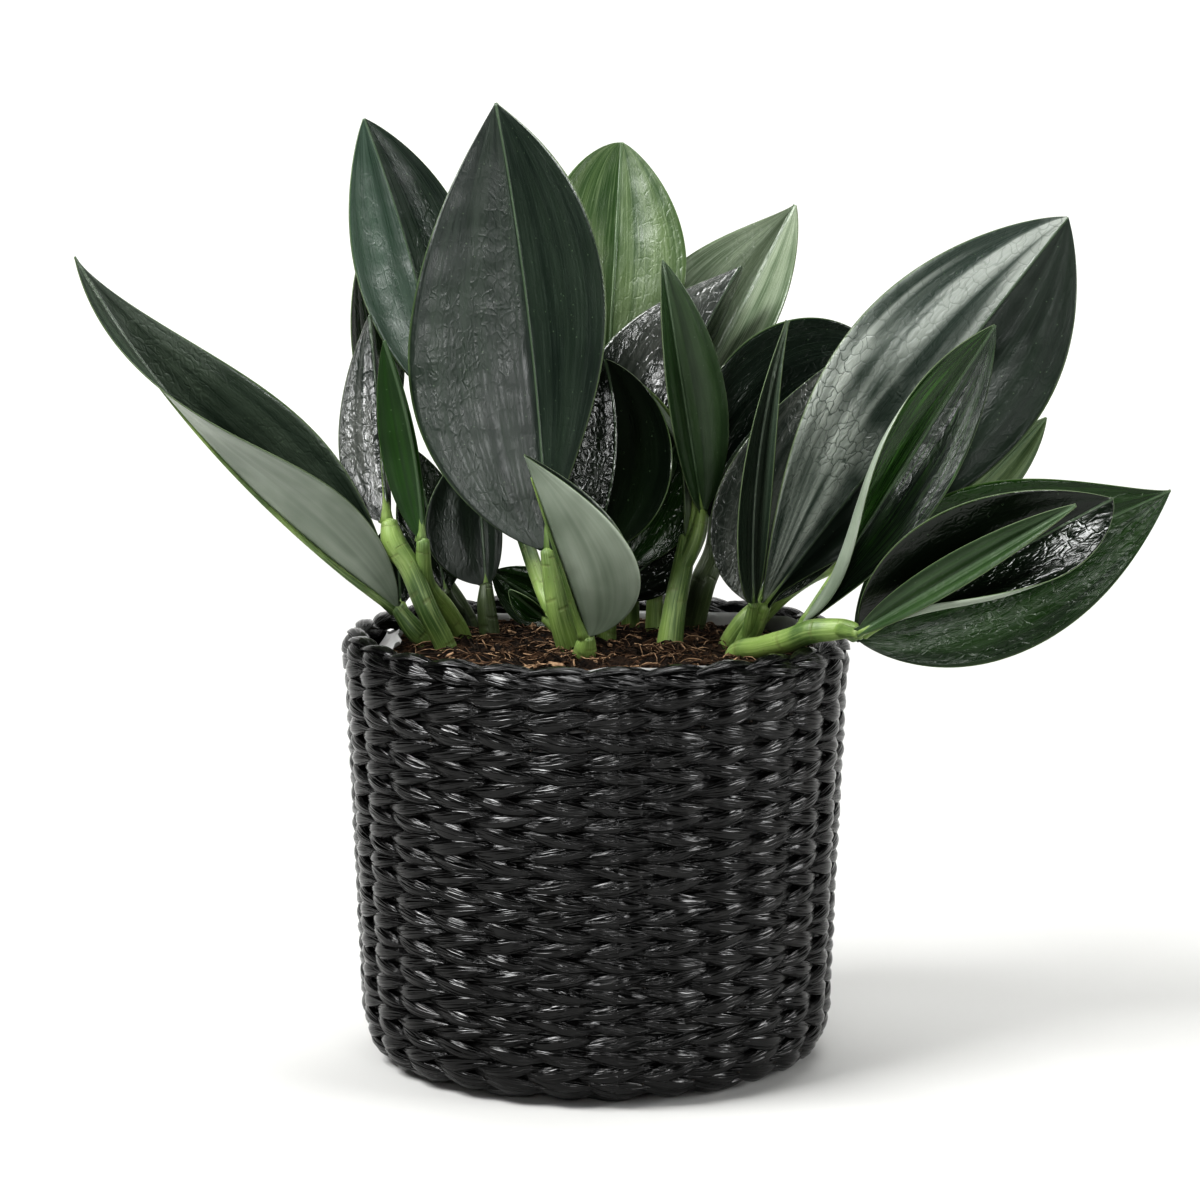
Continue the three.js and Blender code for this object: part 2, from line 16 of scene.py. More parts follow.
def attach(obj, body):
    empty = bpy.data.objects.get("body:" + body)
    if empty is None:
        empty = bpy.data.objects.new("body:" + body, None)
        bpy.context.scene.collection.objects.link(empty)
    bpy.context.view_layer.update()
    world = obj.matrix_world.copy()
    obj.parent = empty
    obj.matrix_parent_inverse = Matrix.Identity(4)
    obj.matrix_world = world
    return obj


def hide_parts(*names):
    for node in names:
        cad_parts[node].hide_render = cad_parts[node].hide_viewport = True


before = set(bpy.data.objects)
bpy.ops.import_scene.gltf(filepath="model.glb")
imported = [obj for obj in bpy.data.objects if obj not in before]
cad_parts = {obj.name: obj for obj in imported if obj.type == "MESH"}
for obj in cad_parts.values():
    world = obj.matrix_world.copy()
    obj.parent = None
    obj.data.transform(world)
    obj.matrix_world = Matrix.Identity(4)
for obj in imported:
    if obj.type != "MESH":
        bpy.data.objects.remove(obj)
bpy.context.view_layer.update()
scene = bpy.context.scene
MM = 0.001
WELD_DISTANCE = 0.002 * MM
ROOT = "root"
print("CAD nodes:", len(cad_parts))

# %% [markdown]
# ## Building surfaces
# Nearly every piece is a grid of quads whose vertices a rule moves into place. Sculpting would do
# as well, but a rule can be changed and run again. The grid keeps the map it was made with, and a
# second map can say where each point lies in metres, so that a pattern has its true scale.

# %% Surface helpers


def new_mesh():
    """An empty bmesh with the two maps that every piece has"""
    bm = bmesh.new()
    bm.loops.layers.uv.new("share")
    bm.loops.layers.uv.new("metric")
    return bm


def add_grid(bm, columns, rows, place, chart=None, slot=0, turned=False):
    """Adds a grid whose point (u, v), each 0 to 1, goes to place(u, v) in millimetres"""
    made = bmesh.ops.create_grid(bm, x_segments=columns, y_segments=rows, size=0.5, calc_uvs=False)
    share = bm.loops.layers.uv["share"]
    metric = bm.loops.layers.uv["metric"]
    faces = {face for vert in made["verts"] for face in vert.link_faces}
    for face in faces:
        face.material_index = slot
        face.smooth = True
        for loop in face.loops:
            u = loop.vert.co.x + 0.5
            v = loop.vert.co.y + 0.5
            loop[share].uv = (u, v)
            loop[metric].uv = chart(u, v) if chart else (u, v)
    for vert in made["verts"]:
        vert.co = place(vert.co.x + 0.5, vert.co.y + 0.5) * MM
    if turned:
        bmesh.ops.reverse_faces(bm, faces=list(faces))


def spline(points):
    """A smooth path through points of three or four numbers, as a function of 0 to 1"""
    knots = [Vector(p).resized(4) for p in points]
    knots = [2 * knots[0] - knots[1], *knots, 2 * knots[-1] - knots[-2]]

    def gap(a, b):
        return math.sqrt((a.xyz - b.xyz).length) or 1.0

    def at(t):
        spans = len(points) - 1
        span = min(int(t * spans), spans - 1)
        s = t * spans - span
        p0, p1, p2, p3 = knots[span:span + 4]
        d0, d1, d2 = gap(p0, p1), gap(p1, p2), gap(p2, p3)
        leave = ((p1 - p0) / d0 - (p2 - p0) / (d0 + d1) + (p2 - p1) / d1) * d1
        arrive = ((p2 - p1) / d1 - (p3 - p1) / (d1 + d2) + (p3 - p2) / d2) * d1
        return (p1 * (2 * s**3 - 3 * s**2 + 1) + leave * (s**3 - 2 * s**2 + s)
                + p2 * (3 * s**2 - 2 * s**3) + arrive * (s**3 - s**2))

    return at


def add_tube(bm, path, stations, sides, slot=0, flat=1.0, rounded=0.6):
    """A closed tube along path, whose fourth number is its radius; flat squeezes it front to back"""
    centres = [path(i / stations) for i in range(stations + 1)]
    rings = []
    normal = Vector((0, -1, 0))
    for i, centre in enumerate(centres):
        before = centres[max(i - 1, 0)].xyz
        after = centres[min(i + 1, stations)].xyz
        ahead = (after - before).normalized()
        normal = (normal - ahead * normal.dot(ahead)).normalized()
        rings.append((centre.xyz, centre.w, normal.copy(), ahead.cross(normal), ahead))
    start, end = rings[0], rings[-1]
    rings.insert(0, (start[0] - start[4] * start[1] * rounded, 0.0, *start[2:]))
    rings.append((end[0] + end[4] * end[1] * rounded, 0.0, *end[2:]))
    last = len(rings) - 1

    def place(u, v):
        centre, radius, out, side, _ = rings[round(v * last)]
        angle = 2 * math.pi * u
        return centre + (out * math.cos(angle) * flat + side * math.sin(angle)) * radius

    length = sum((b.xyz - a.xyz).length for a, b in zip(centres, centres[1:]))
    girth = 2 * math.pi * centres[0].w
    add_grid(bm, sides, last, place, lambda u, v: (u * girth * MM, v * length * MM), slot, True)


def new_object(name, bm, materials):
    """Turns a bmesh into a named object of the scene"""
    mesh = bpy.data.meshes.new(name)
    bm.to_mesh(mesh)
    bm.free()
    for material in materials:
        mesh.materials.append(material)
    made = bpy.data.objects.new(name, mesh)
    scene.collection.objects.link(made)
    return made


def finish_piece(name, bm, materials, replaced=(), weld=True):
    """Makes an object that rides on the frame"""
    if weld:
        bmesh.ops.remove_doubles(bm, verts=bm.verts, dist=WELD_DISTANCE)
    piece = new_object(name, bm, materials)
    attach(piece, ROOT)
    if replaced:
        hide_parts(*replaced)
    return piece


def smooth_step(low, high, value):
    """0 below low, 1 above high, and a smooth ramp between them"""
    share = min(max((value - low) / (high - low), 0.0), 1.0)
    return share * share * (3 - 2 * share)


# %% [markdown]
# ## Writing materials
# A material is a graph of nodes, which could be drawn by hand in the shader editor. Here a small
# helper writes each node in one line, so that the whole recipe can be read. Shared patterns sit in
# node groups, which give out only masks and heights, and each material ends in one Principled
# shader.

# %% Node helpers


class Graph:
    """A node tree that is built with one line for each node"""

    def __init__(self, tree):
        self.tree = tree

    def node(self, kind, inputs=None, **settings):
        made = self.tree.nodes.new(kind)
        for name, value in settings.items():
            setattr(made, name, value)
        for name, value in (inputs or {}).items():
            if isinstance(value, bpy.types.NodeSocket):
                self.tree.links.new(value, made.inputs[name])
            else:
                made.inputs[name].default_value = value
        return made

    def math(self, operation, a, b=0.0, c=0.0):
        return self.node("ShaderNodeMath", {0: a, 1: b, 2: c}, operation=operation).outputs[0]

    def times(self, a, b):
        return self.math("MULTIPLY", a, b)

    def distance(self, value, middle):
        return self.math("ABSOLUTE", self.math("SUBTRACT", value, middle))

    def step(self, value, low, high, to_low=0.0, to_high=1.0):
        made = self.node("ShaderNodeMapRange", {
            "Value": value, "From Min": low, "From Max": high, "To Min": to_low, "To Max": to_high,
        }, interpolation_type="SMOOTHSTEP")
        return made.outputs[0]

    def mix(self, factor, a, b):
        """Colour a where factor is 0 and b where it is 1; each is a socket or red, green, blue"""
        a, b = (tone if isinstance(tone, bpy.types.NodeSocket) else (*tone, 1) for tone in (a, b))
        return self.node("ShaderNodeMix", {0: factor, 6: a, 7: b}, data_type="RGBA").outputs[2]

    def noise(self, vector, scale, detail=3.0, roughness=0.5, distortion=0.0, dimensions="3D"):
        made = self.node("ShaderNodeTexNoise", {
            "Vector": vector, "Scale": scale, "Detail": detail, "Roughness": roughness,
            "Distortion": distortion,
        }, noise_dimensions=dimensions)
        return made.outputs[0]

    def grain(self, flat_map, across, along, detail=3.0, roughness=0.5, distortion=0.0):
        """Flat noise on a UV map, with its own scale across and along; it renders faster"""
        place = self.stretched(flat_map, (across, along, 1))
        return self.noise(place, 1.0, detail, roughness, distortion, "2D")

    def cells(self, vector, scale, **settings):
        made = self.node("ShaderNodeTexVoronoi", {"Vector": vector, "Scale": scale}, **settings)
        return made.outputs["Distance"]

    def stretched(self, vector, scale):
        return self.node("ShaderNodeMapping", {"Vector": vector, "Scale": scale}).outputs[0]

    def uv(self, name):
        return self.node("ShaderNodeUVMap", uv_map=name).outputs[0]

    def place(self):
        return self.node("ShaderNodeTexCoord").outputs["Object"]

    def bump(self, height, distance, strength=1.0, normal=None):
        inputs = {"Height": height, "Distance": distance, "Strength": strength}
        if normal is not None:
            inputs["Normal"] = normal
        return self.node("ShaderNodeBump", inputs).outputs[0]


def new_material(name):
    """A material with an empty graph and its Principled shader"""
    material = bpy.data.materials.new(name)
    material.use_nodes = True
    graph = Graph(material.node_tree)
    return material, graph, material.node_tree.nodes["Principled BSDF"]


def feed(graph, shader, links, numbers):
    """Links sockets and sets numbers on a shader"""
    for name, socket in links.items():
        graph.tree.links.new(socket, shader.inputs[name])
    for name, value in numbers.items():
        shader.inputs[name].default_value = value


def give_out(tree, links):
    """Gives a node group one float output for each link"""
    for name in links:
        tree.interface.new_socket(name, in_out="OUTPUT", socket_type="NodeSocketFloat")
    group_out = tree.nodes.new("NodeGroupOutput")
    for name, socket in links.items():
        tree.links.new(socket, group_out.inputs[name])


# %% [markdown]
# ## Camera, light and floor
# The camera was fitted to the basket's rim and foot: a long lens, a little above the plant and
# looking down at it. The floor sweeps up into a pale wall. The main soft light hangs to the left,
# so the shadow falls to the right, and weaker ones stand at the right and above. A low front light
# and a narrow one like a window give the waxy leaves something to mirror.

# %% Camera, light and floor
CAMERA_PLACE = Vector((1.35, -1300, 352)) * MM
CAMERA_PITCH = 8.6
LENS = 117.15

camera_data = bpy.data.cameras.new("camera")
camera_data.lens = LENS
camera_data.sensor_width = 36
camera = bpy.data.objects.new("camera", camera_data)
camera.location = CAMERA_PLACE
camera.rotation_euler = (math.radians(90 - CAMERA_PITCH), 0, 0)
scene.collection.objects.link(camera)
bpy.context.scene.camera = camera


def soft_light(name, place, target, width, height, power):
    """A rectangular light at place, facing target, in millimetres and watts"""
    data = bpy.data.lights.new(name, "AREA")
    data.shape = "RECTANGLE"
    data.size = width * MM
    data.size_y = height * MM
    data.energy = power
    light = bpy.data.objects.new(name, data)
    light.location = Vector(place) * MM
    light.rotation_euler = (Vector(target) - Vector(place)).to_track_quat("-Z", "Y").to_euler()
    scene.collection.objects.link(light)


soft_light("key", (-900, -480, 1300), (0, 0, 120), 900, 700, 33)
soft_light("front", (-140, -1560, 510), (0, 0, 190), 480, 160, 5)
soft_light("window", (520, -1430, 470), (0, 0, 220), 150, 460, 3)
soft_light("right", (1220, -420, 520), (0, 0, 260), 700, 400, 10)
soft_light("top", (250, 300, 1500), (0, 0, 150), 900, 900, 14)

world = bpy.data.worlds.new("studio")
world.use_nodes = True
world.node_tree.nodes["Background"].inputs["Color"].default_value = (1, 1, 0.99, 1)
world.node_tree.nodes["Background"].inputs["Strength"].default_value = 0.05
scene.world = world
scene.view_settings.view_transform = "Standard"
scene.view_settings.look = "High Contrast"

SWEEP_FRONT = -1300
SWEEP_BACK = 1500
SWEEP_RADIUS = 900
WALL_TOP = 3600
FLOOR_HALF_WIDTH = 3500


def sweep_place(u, v):
    """Floor, quarter round and wall of the backdrop"""
    x = (2 * u - 1) * FLOOR_HALF_WIDTH
    floor_length = SWEEP_BACK - SWEEP_FRONT
    arc_length = SWEEP_RADIUS * math.pi / 2
    run = v * (floor_length + arc_length + WALL_TOP)
    if run < floor_length:
        return Vector((x, SWEEP_FRONT + run, 0))
    if run < floor_length + arc_length:
        angle = (run - floor_length) / SWEEP_RADIUS
        y = SWEEP_BACK + SWEEP_RADIUS * math.sin(angle)
        return Vector((x, y, SWEEP_RADIUS * (1 - math.cos(angle))))
    return Vector((x, SWEEP_BACK + SWEEP_RADIUS, SWEEP_RADIUS + run - floor_length - arc_length))


backdrop_material, graph, shader = new_material("backdrop")
how_far = graph.node("ShaderNodeSeparateXYZ", {0: graph.place()}).outputs["Y"]
feed(graph, shader, {"Emission Strength": graph.step(how_far, 0.1, 2.0, 0.0, 0.47)}, {
    "Base Color": (0.51, 0.51, 0.5, 1), "Roughness": 0.9, "Specular IOR Level": 0.1,
    "Emission Color": (1, 1, 0.985, 1)})

backdrop_bm = new_mesh()
add_grid(backdrop_bm, 2, 90, sweep_place)
backdrop = new_object("backdrop", backdrop_bm, [backdrop_material])
print("lights:", len(bpy.data.lights))

# %% [markdown]
# ## Leaf and stem materials
# The blade is waxy and almost black, with fine lines that fan out along it, a pale midrib and a
# pale thin margin. Parts of it are crinkled, which breaks up the reflection, and the crease lines
# between the crinkles are darkened as painted shade. Each half of a blade can have its own tones
# and its own crinkle, because the halves of one leaf look quite unlike in the light. On some looks
# the lighter tone of one half is a painted reflection, thin pale lines on it are painted glints,
# and the pale looks of the back leaves are partly painted backlight. The underside is a dull pale
# grey green, and the petioles are green with fibres along them and faint rings; the petioles at
# the back get a darker copy of the skin as painted shade. A blade's metric map runs across and
# along it in metres, and its share map runs from 0 at the left margin to 1 at the right one. One
# group makes all the masks, so that the look of each leaf is a short row in a table.

# %% Leaf and stem materials
leaf_tree = bpy.data.node_groups.new("leaf_pattern", "ShaderNodeTree")
graph = Graph(leaf_tree)
metric = graph.uv("metric")
metric_parts = graph.node("ShaderNodeSeparateXYZ", {0: metric})
share_parts = graph.node("ShaderNodeSeparateXYZ", {0: graph.uv("share")})
fan = graph.node("ShaderNodeCombineXYZ", {0: share_parts.outputs[0], 1: metric_parts.outputs[1]})
veins = fan.outputs[0]
lines = graph.grain(veins, 70, 40, 4.0, 0.6)
bands = graph.grain(veins, 9, 9, 2.0, 0.5, 0.3)
wrinkled = graph.grain(metric, 300, 150, 1.0, 0.5, 1.6)
jitter = graph.node("ShaderNodeTexNoise", {"Vector": metric, "Scale": 240.0, "Detail": 1.0},
                    noise_dimensions="2D")
cell_place = graph.node("ShaderNodeVectorMath", {
    0: graph.stretched(metric, (330, 200, 1)), 1: jitter.outputs["Color"]})
to_edge = graph.cells(cell_place.outputs[0], 1.0, voronoi_dimensions="2D", feature="DISTANCE_TO_EDGE")
mottle = graph.noise(graph.stretched(graph.place(), (30, 30, 18)), 1.0, 3.0)
give_out(leaf_tree, {
    "Lines": lines,
    "Bands": graph.step(bands, 0.36, 0.66),
    "Crinkle": graph.math("ADD", wrinkled, graph.step(to_edge, 0.0, 0.2, 0.0, 0.3)),
    # Lines between the crinkle cells, where painted shade goes
    "CreaseShade": graph.step(to_edge, 0.07, 0.0),
    # Thin wiggly lines on which pale painted glints are laid
    "Wiggles": graph.step(graph.distance(wrinkled, 0.5), 0.05, 0.008),
    "Patches": graph.step(mottle, 0.4, 0.64),
    "Swell": graph.noise(graph.place(), 38.0, 2.0),
    "Midrib": graph.step(graph.distance(metric_parts.outputs[0], 0.0), 0.0006, 0.0002),
    "Margin": graph.step(graph.distance(share_parts.outputs[0], 0.5), 0.489, 0.497),
    "Specks": graph.step(graph.cells(metric, 330.0), 0.12, 0.05),
    "Side": graph.step(share_parts.outputs[0], 0.49, 0.51),
})

MIDRIB_TONE = (0.14, 0.2, 0.12)
MARGIN_TONE = (0.1, 0.15, 0.06)
# Pale grey of the painted glints: a painted highlight on the crinkles, not a colour of the leaf
GLINT_TONE = (0.42, 0.43, 0.42)


def leaf_material(name, left, streak, rough, crinkle, right=None,
                  streaks=0.16, painted_glints=0.0, right_rough=0.0, specular=0.5):
    """Upper face of a blade: two tones on each half, crinkle, painted shade in creases, painted glints
    """
    material, graph, shader = new_material(name)
    pattern = graph.node("ShaderNodeGroup", node_tree=leaf_tree).outputs
    lighter = graph.math("MULTIPLY_ADD", pattern["Bands"], 0.55, graph.times(pattern["Patches"], 0.45))
    left_tone = graph.mix(lighter, *left)
    right_tone = graph.mix(lighter, *(right or left))
    base = graph.mix(pattern["Side"], left_tone, right_tone)
    base = graph.mix(graph.step(pattern["Lines"], 0.5, 0.72, 0.0, streaks), base, streak)
    # Painted highlight: thin pale wiggles on the left half stand in for glints of light on the crinkles
    if painted_glints:
        on_left = graph.step(pattern["Side"], 1.0, 0.0, 0.0, painted_glints)
        glint_mask = graph.times(pattern["Patches"], on_left)
        base = graph.mix(graph.times(pattern["Wiggles"], glint_mask), base, GLINT_TONE)
    depth = graph.step(pattern["Side"], 0.0, 1.0, *crinkle)
    uneven = graph.times(graph.step(pattern["Patches"], 0.0, 1.0, 0.35, 1.0), depth)
    # Painted shade: the crease lines of the crinkle are darkened to the dark tone of the left half
    base = graph.mix(graph.times(pattern["CreaseShade"], uneven), base, left[0])
    for mask, share, tone in (("Specks", 0.3, MIDRIB_TONE), ("Midrib", 0.35, MIDRIB_TONE),
                              ("Margin", 0.45, MARGIN_TONE)):
        base = graph.mix(graph.times(pattern[mask], share), base, tone)
    gloss = graph.step(pattern["Lines"], 0.3, 0.7, rough - 0.07, rough + 0.07)
    gloss = graph.math("MULTIPLY_ADD", pattern["Side"], right_rough, gloss)
    normal = graph.bump(pattern["Swell"], 0.0016, 1.0)
    normal = graph.bump(pattern["Lines"], 0.0001, 0.4, normal)
    normal = graph.bump(graph.times(pattern["Crinkle"], uneven), 0.001, 1.0, normal)
    normal = graph.bump(pattern["Midrib"], 0.0004, 0.6, normal)
    feed(graph, shader, {"Base Color": base, "Roughness": gloss, "Normal": normal},
         {"Specular IOR Level": specular})
    return material


CHARCOAL = ((0.006, 0.012, 0.008), (0.017, 0.027, 0.018))
ASH = ((0.022, 0.034, 0.023), (0.065, 0.085, 0.062))
# Painted reflection: the bluish grey of the left half stands in for what that half mirrors
SLATE_SHEEN = ((0.026, 0.048, 0.033), (0.062, 0.094, 0.07))
BLACK = ((0.002, 0.005, 0.002), (0.006, 0.012, 0.005))
DEEP_GREEN = ((0.002, 0.011, 0.001), (0.01, 0.034, 0.003))
MOSS = ((0.004, 0.022, 0.001), (0.012, 0.05, 0.002))
SATIN = ((0.012, 0.032, 0.008), (0.04, 0.075, 0.028))
# Painted sheen: the pale grey light tone stands in for the reflection on the left half of the large
# leaf
SILVER_SHEEN = ((0.035, 0.05, 0.04), (0.5, 0.53, 0.49))
# Painted sheen: the grey light tone stands in for reflection on the left half of the glossy black
# leaves
PEWTER_SHEEN = ((0.012, 0.018, 0.014), (0.12, 0.125, 0.115))
NIGHT = ((0.002, 0.007, 0.003), (0.007, 0.016, 0.008))
# Lighter tones of leaves at the back: the pale one is painted backlight on a dark leaf, and the fresh
# one is partly a young leaf's own paler green and partly painted backlight
PALE_BACKLIT = ((0.075, 0.105, 0.062), (0.21, 0.245, 0.18))
FRESH_BACKLIT = ((0.03, 0.06, 0.02), (0.1, 0.14, 0.065))
LOOK_TABLE = {
    "dark": dict(left=CHARCOAL, streak=(0.03, 0.055, 0.032), rough=0.36,
                 crinkle=(0.11, 0.11)),
    "ash": dict(left=ASH, streak=(0.08, 0.105, 0.075), rough=0.32, crinkle=(0.3, 0.3)),
    "slate_sheen": dict(left=SLATE_SHEEN, right=CHARCOAL, streak=(0.06, 0.09, 0.07), rough=0.32,
                  crinkle=(0.06, 0.15)),
    "black": dict(left=BLACK, streak=(0.012, 0.02, 0.011), rough=0.2,
                  crinkle=(0.15, 0.55)),
    "inky": dict(left=BLACK, streak=(0.012, 0.02, 0.011), rough=0.15,
                 crinkle=(0.35, 0.1), painted_glints=0.2),
    "gloss": dict(left=CHARCOAL, right=BLACK, streak=(0.02, 0.04, 0.02), rough=0.22,
                  crinkle=(0.4, 0.25)),
    "green": dict(left=DEEP_GREEN, streak=(0.018, 0.055, 0.006), rough=0.24,
                  crinkle=(0.2, 0.3), specular=0.4),
    "moss": dict(left=MOSS, streak=(0.02, 0.06, 0.008), rough=0.5, crinkle=(0.05, 0.05),
                 specular=0.3),
    "satin": dict(left=SATIN, streak=(0.06, 0.1, 0.045), rough=0.36,
                  crinkle=(0.1, 0.1)),
    "striped": dict(left=DEEP_GREEN, right=CHARCOAL, streak=(0.04, 0.12, 0.012), rough=0.3,
                    crinkle=(0.1, 0.1), streaks=0.7),
    "silver_sheen": dict(left=SILVER_SHEEN, right=NIGHT, streak=(0.05, 0.065, 0.05), rough=0.28,
                   crinkle=(0.8, 0.08), streaks=0.12, right_rough=0.12, specular=0.3),
    "pewter_sheen": dict(left=PEWTER_SHEEN, right=BLACK, streak=(0.04, 0.05, 0.04), rough=0.22,
                   crinkle=(0.55, 0.2), painted_glints=0.35),
    "mirror": dict(left=PEWTER_SHEEN, right=BLACK, streak=(0.1, 0.12, 0.1), rough=0.16,
                   crinkle=(0.2, 0.12), painted_glints=0.15),
    "pale": dict(left=PALE_BACKLIT, streak=(0.26, 0.3, 0.23), rough=0.28,
                 crinkle=(0.12, 0.12), streaks=0.45),
    "fresh": dict(left=FRESH_BACKLIT, streak=(0.16, 0.21, 0.11), rough=0.33,
                  crinkle=(0.12, 0.12), streaks=0.5),
}
LOOKS = {look: leaf_material("leaf_" + look, **settings) for look, settings in LOOK_TABLE.items()}
print("looks of leaves:", len(LOOKS))

under_material, graph, shader = new_material("leaf_underside")
pattern = graph.node("ShaderNodeGroup", node_tree=leaf_tree).outputs
shaded = graph.math("MULTIPLY_ADD", pattern["Bands"], 0.3, graph.times(pattern["Patches"], 0.7))
under = graph.mix(shaded, (0.125, 0.155, 0.115), (0.29, 0.325, 0.27))
under = graph.mix(graph.step(pattern["Lines"], 0.35, 0.75, 0.0, 0.25), under, (0.16, 0.2, 0.145))
normal = graph.bump(pattern["Lines"], 0.0001, 0.4, graph.bump(pattern["Swell"], 0.002, 1.0))
feed(graph, shader, {"Base Color": under, "Normal": normal},
     {"Roughness": 0.42, "Specular IOR Level": 0.5})

rim_material, graph, shader = new_material("leaf_rim")
rim_tone = graph.noise(graph.place(), 60.0)
feed(graph, shader, {"Base Color": graph.mix(rim_tone, (0.035, 0.055, 0.022), (0.1, 0.135, 0.065))},
     {"Roughness": 0.5})


def stem_like(name, dark, light, fibre, fleck):
    """Skin of a petiole: fibres along it, faint rings across it and brown flecks"""
    material, graph, shader = new_material(name)
    metric = graph.uv("metric")
    fibres = graph.grain(metric, 1600, 60, 4.0, 0.6)
    tone = graph.noise(graph.stretched(graph.place(), (60, 60, 26)), 1.0, 4.0)
    rings = graph.grain(metric, 4, 70, 0.0)
    ring = graph.step(graph.distance(rings, 0.45), 0.02, 0.004)
    skin = graph.mix(graph.step(tone, 0.35, 0.66), dark, light)
    skin = graph.mix(graph.step(fibres, 0.42, 0.75, 0.0, 0.6), skin, fibre)
    skin = graph.mix(graph.times(ring, 0.22), skin, fleck)
    skin = graph.mix(graph.step(graph.cells(metric, 420.0), 0.16, 0.06, 0.0, 0.6), skin, fleck)
    normal = graph.bump(fibres, 0.00025, 0.7, graph.bump(tone, 0.0012, 0.6))
    normal = graph.bump(ring, 0.0002, 0.5, normal)
    feed(graph, shader, {"Base Color": skin, "Normal": normal},
         {"Roughness": 0.42, "Specular IOR Level": 0.45})
    return material


stem_material = stem_like("stem", (0.055, 0.1, 0.03), (0.2, 0.28, 0.085), (0.28, 0.35, 0.15),
                          (0.12, 0.11, 0.045))
# Painted shade: a darker copy of the stem skin for the petioles at the back, in the shade of the leaves
shaded_stem_material = stem_like("stem_painted_shade", (0.02, 0.032, 0.012), (0.05, 0.07, 0.028),
                               (0.09, 0.12, 0.055), (0.03, 0.022, 0.012))

# %% [markdown]
# ## Basket, liner and soil materials
# The strands are flat dyed leaf fibre, glossy black, with fine lines and creases along them. The
# liner is a cloudy grey film. The soil is brown bark and coir. Photographs of fibre and soil would
# be quicker to put on, but noise stretched along each strand has no seam and stays sharp.

# %% Basket, liner and soil materials
strand_material, graph, shader = new_material("strand")
metric = graph.uv("metric")
fine = graph.grain(metric, 2600, 50, 3.0, 0.65)
creases = graph.grain(metric, 1000, 40, 2.0, 0.55, 0.4)
wear = graph.noise(graph.place(), 55.0, 3.0)
dye = graph.mix(graph.step(fine, 0.4, 0.75), (0.001, 0.001, 0.001), (0.004, 0.004, 0.004))
dye = graph.mix(graph.step(wear, 0.6, 0.74, 0.0, 0.4), dye, (0.02, 0.019, 0.018))
rough = graph.step(fine, 0.3, 0.75, 0.06, 0.24)
normal = graph.bump(creases, 0.0009, 1.0)
normal = graph.bump(fine, 0.00007, 1.0, normal)
along_strand = graph.node("ShaderNodeTangent", direction_type="UV_MAP", uv_map="metric").outputs[0]
feed(graph, shader, {"Base Color": dye, "Roughness": rough, "Normal": normal, "Tangent": along_strand},
     {"Specular IOR Level": 0.45, "Anisotropic": 0.25})

stake_material, graph, shader = new_material("stake")
stake_tone = graph.noise(graph.place(), 90.0)
feed(graph, shader, {"Base Color": graph.mix(stake_tone, (0.012, 0.01, 0.008), (0.05, 0.04, 0.03))},
     {"Roughness": 0.7})

film_material, graph, shader = new_material("film")
haze = graph.noise(graph.place(), 40.0, 3.0)
feed(graph, shader, {
    "Base Color": graph.mix(haze, (0.3, 0.3, 0.3), (0.52, 0.52, 0.51)),
    "Normal": graph.bump(graph.noise(graph.place(), 160.0, 2.0), 0.0006, 0.5)},
    {"Roughness": 0.28, "Transmission Weight": 0.35, "IOR": 1.3})


def soil_like(name, dark, light, scale, relief, roughness=0.95):
    """A dry crumbly material with two tones"""
    material, graph, shader = new_material(name)
    place = graph.place()
    tone = graph.noise(place, scale, 6.0, 0.7)
    grain = graph.noise(place, scale * 5, 5.0, 0.7)
    feed(graph, shader, {
        "Base Color": graph.mix(graph.step(tone, 0.35, 0.68), dark, light),
        "Normal": graph.bump(graph.math("ADD", tone, grain), relief, 1.0)},
        {"Roughness": roughness, "Specular IOR Level": 0.25})
    return material


soil_material = soil_like("soil", (0.006, 0.004, 0.003), (0.045, 0.027, 0.016), 170.0, 0.002)
chip_materials = [
    soil_like("bark_dark", (0.009, 0.006, 0.004), (0.03, 0.019, 0.012), 260.0, 0.0005),
    soil_like("bark_brown", (0.035, 0.02, 0.011), (0.1, 0.06, 0.036), 260.0, 0.0005),
    soil_like("coir_tan", (0.14, 0.09, 0.055), (0.36, 0.25, 0.16), 300.0, 0.0003, 0.8),
]
print("materials:", len(bpy.data.materials))

# %% [markdown]
# ## Basket
# The wall is twined: 27 upright stakes, and pairs of flat strands that twist round each other
# between one stake and the next. Each line of twining shows one almond-shaped lobe in front of
# each stake. Neighbouring lines twist opposite ways, so that two lines together make a row of
# arrowheads that point left. The two top lines are broader, and four more turn over the rim. One
# wall with a pattern of bumps would be lighter, but its outline would be smooth and light would
# not sink between the strands. So each strand is a real band, swept along its twisted path.

# %% Basket
STAKES = 27
STAKE_PITCH = 360 / STAKES
FIRST_LOBE = 5.0
STEPS_PER_LOBE = 10
STRAND_SIDES = 12
STRAND_HALF_THICKNESS = 1.15
TWIST_DEPTH = 1.35
TWIST_RISE = 1.2
ROWS_PITCH = 10.35
FIRST_ROW = 9.9
BROAD_ROW = 125.6
EVEN_ROWS = 11
ROW_SPREAD = 2.6
BROAD_SPREAD = 3.4
LINE_HALF_WIDTH = 3.05
BROAD_HALF_WIDTH = 3.9
FOOT_TILT = -22
WALL_PROFILE = [(66, 0), (73, 2.5), (78, 8), (80, 18), (82, 70), (84.5, 125), (85, 136)]


def wall_radius(z):
    """Outer radius of the wall at height z"""
    for (r0, z0), (r1, z1) in zip(WALL_PROFILE, WALL_PROFILE[1:]):
        if z <= z1:
            return r0 + (r1 - r0) * (z - z0) / (z1 - z0)
    return WALL_PROFILE[-1][0]


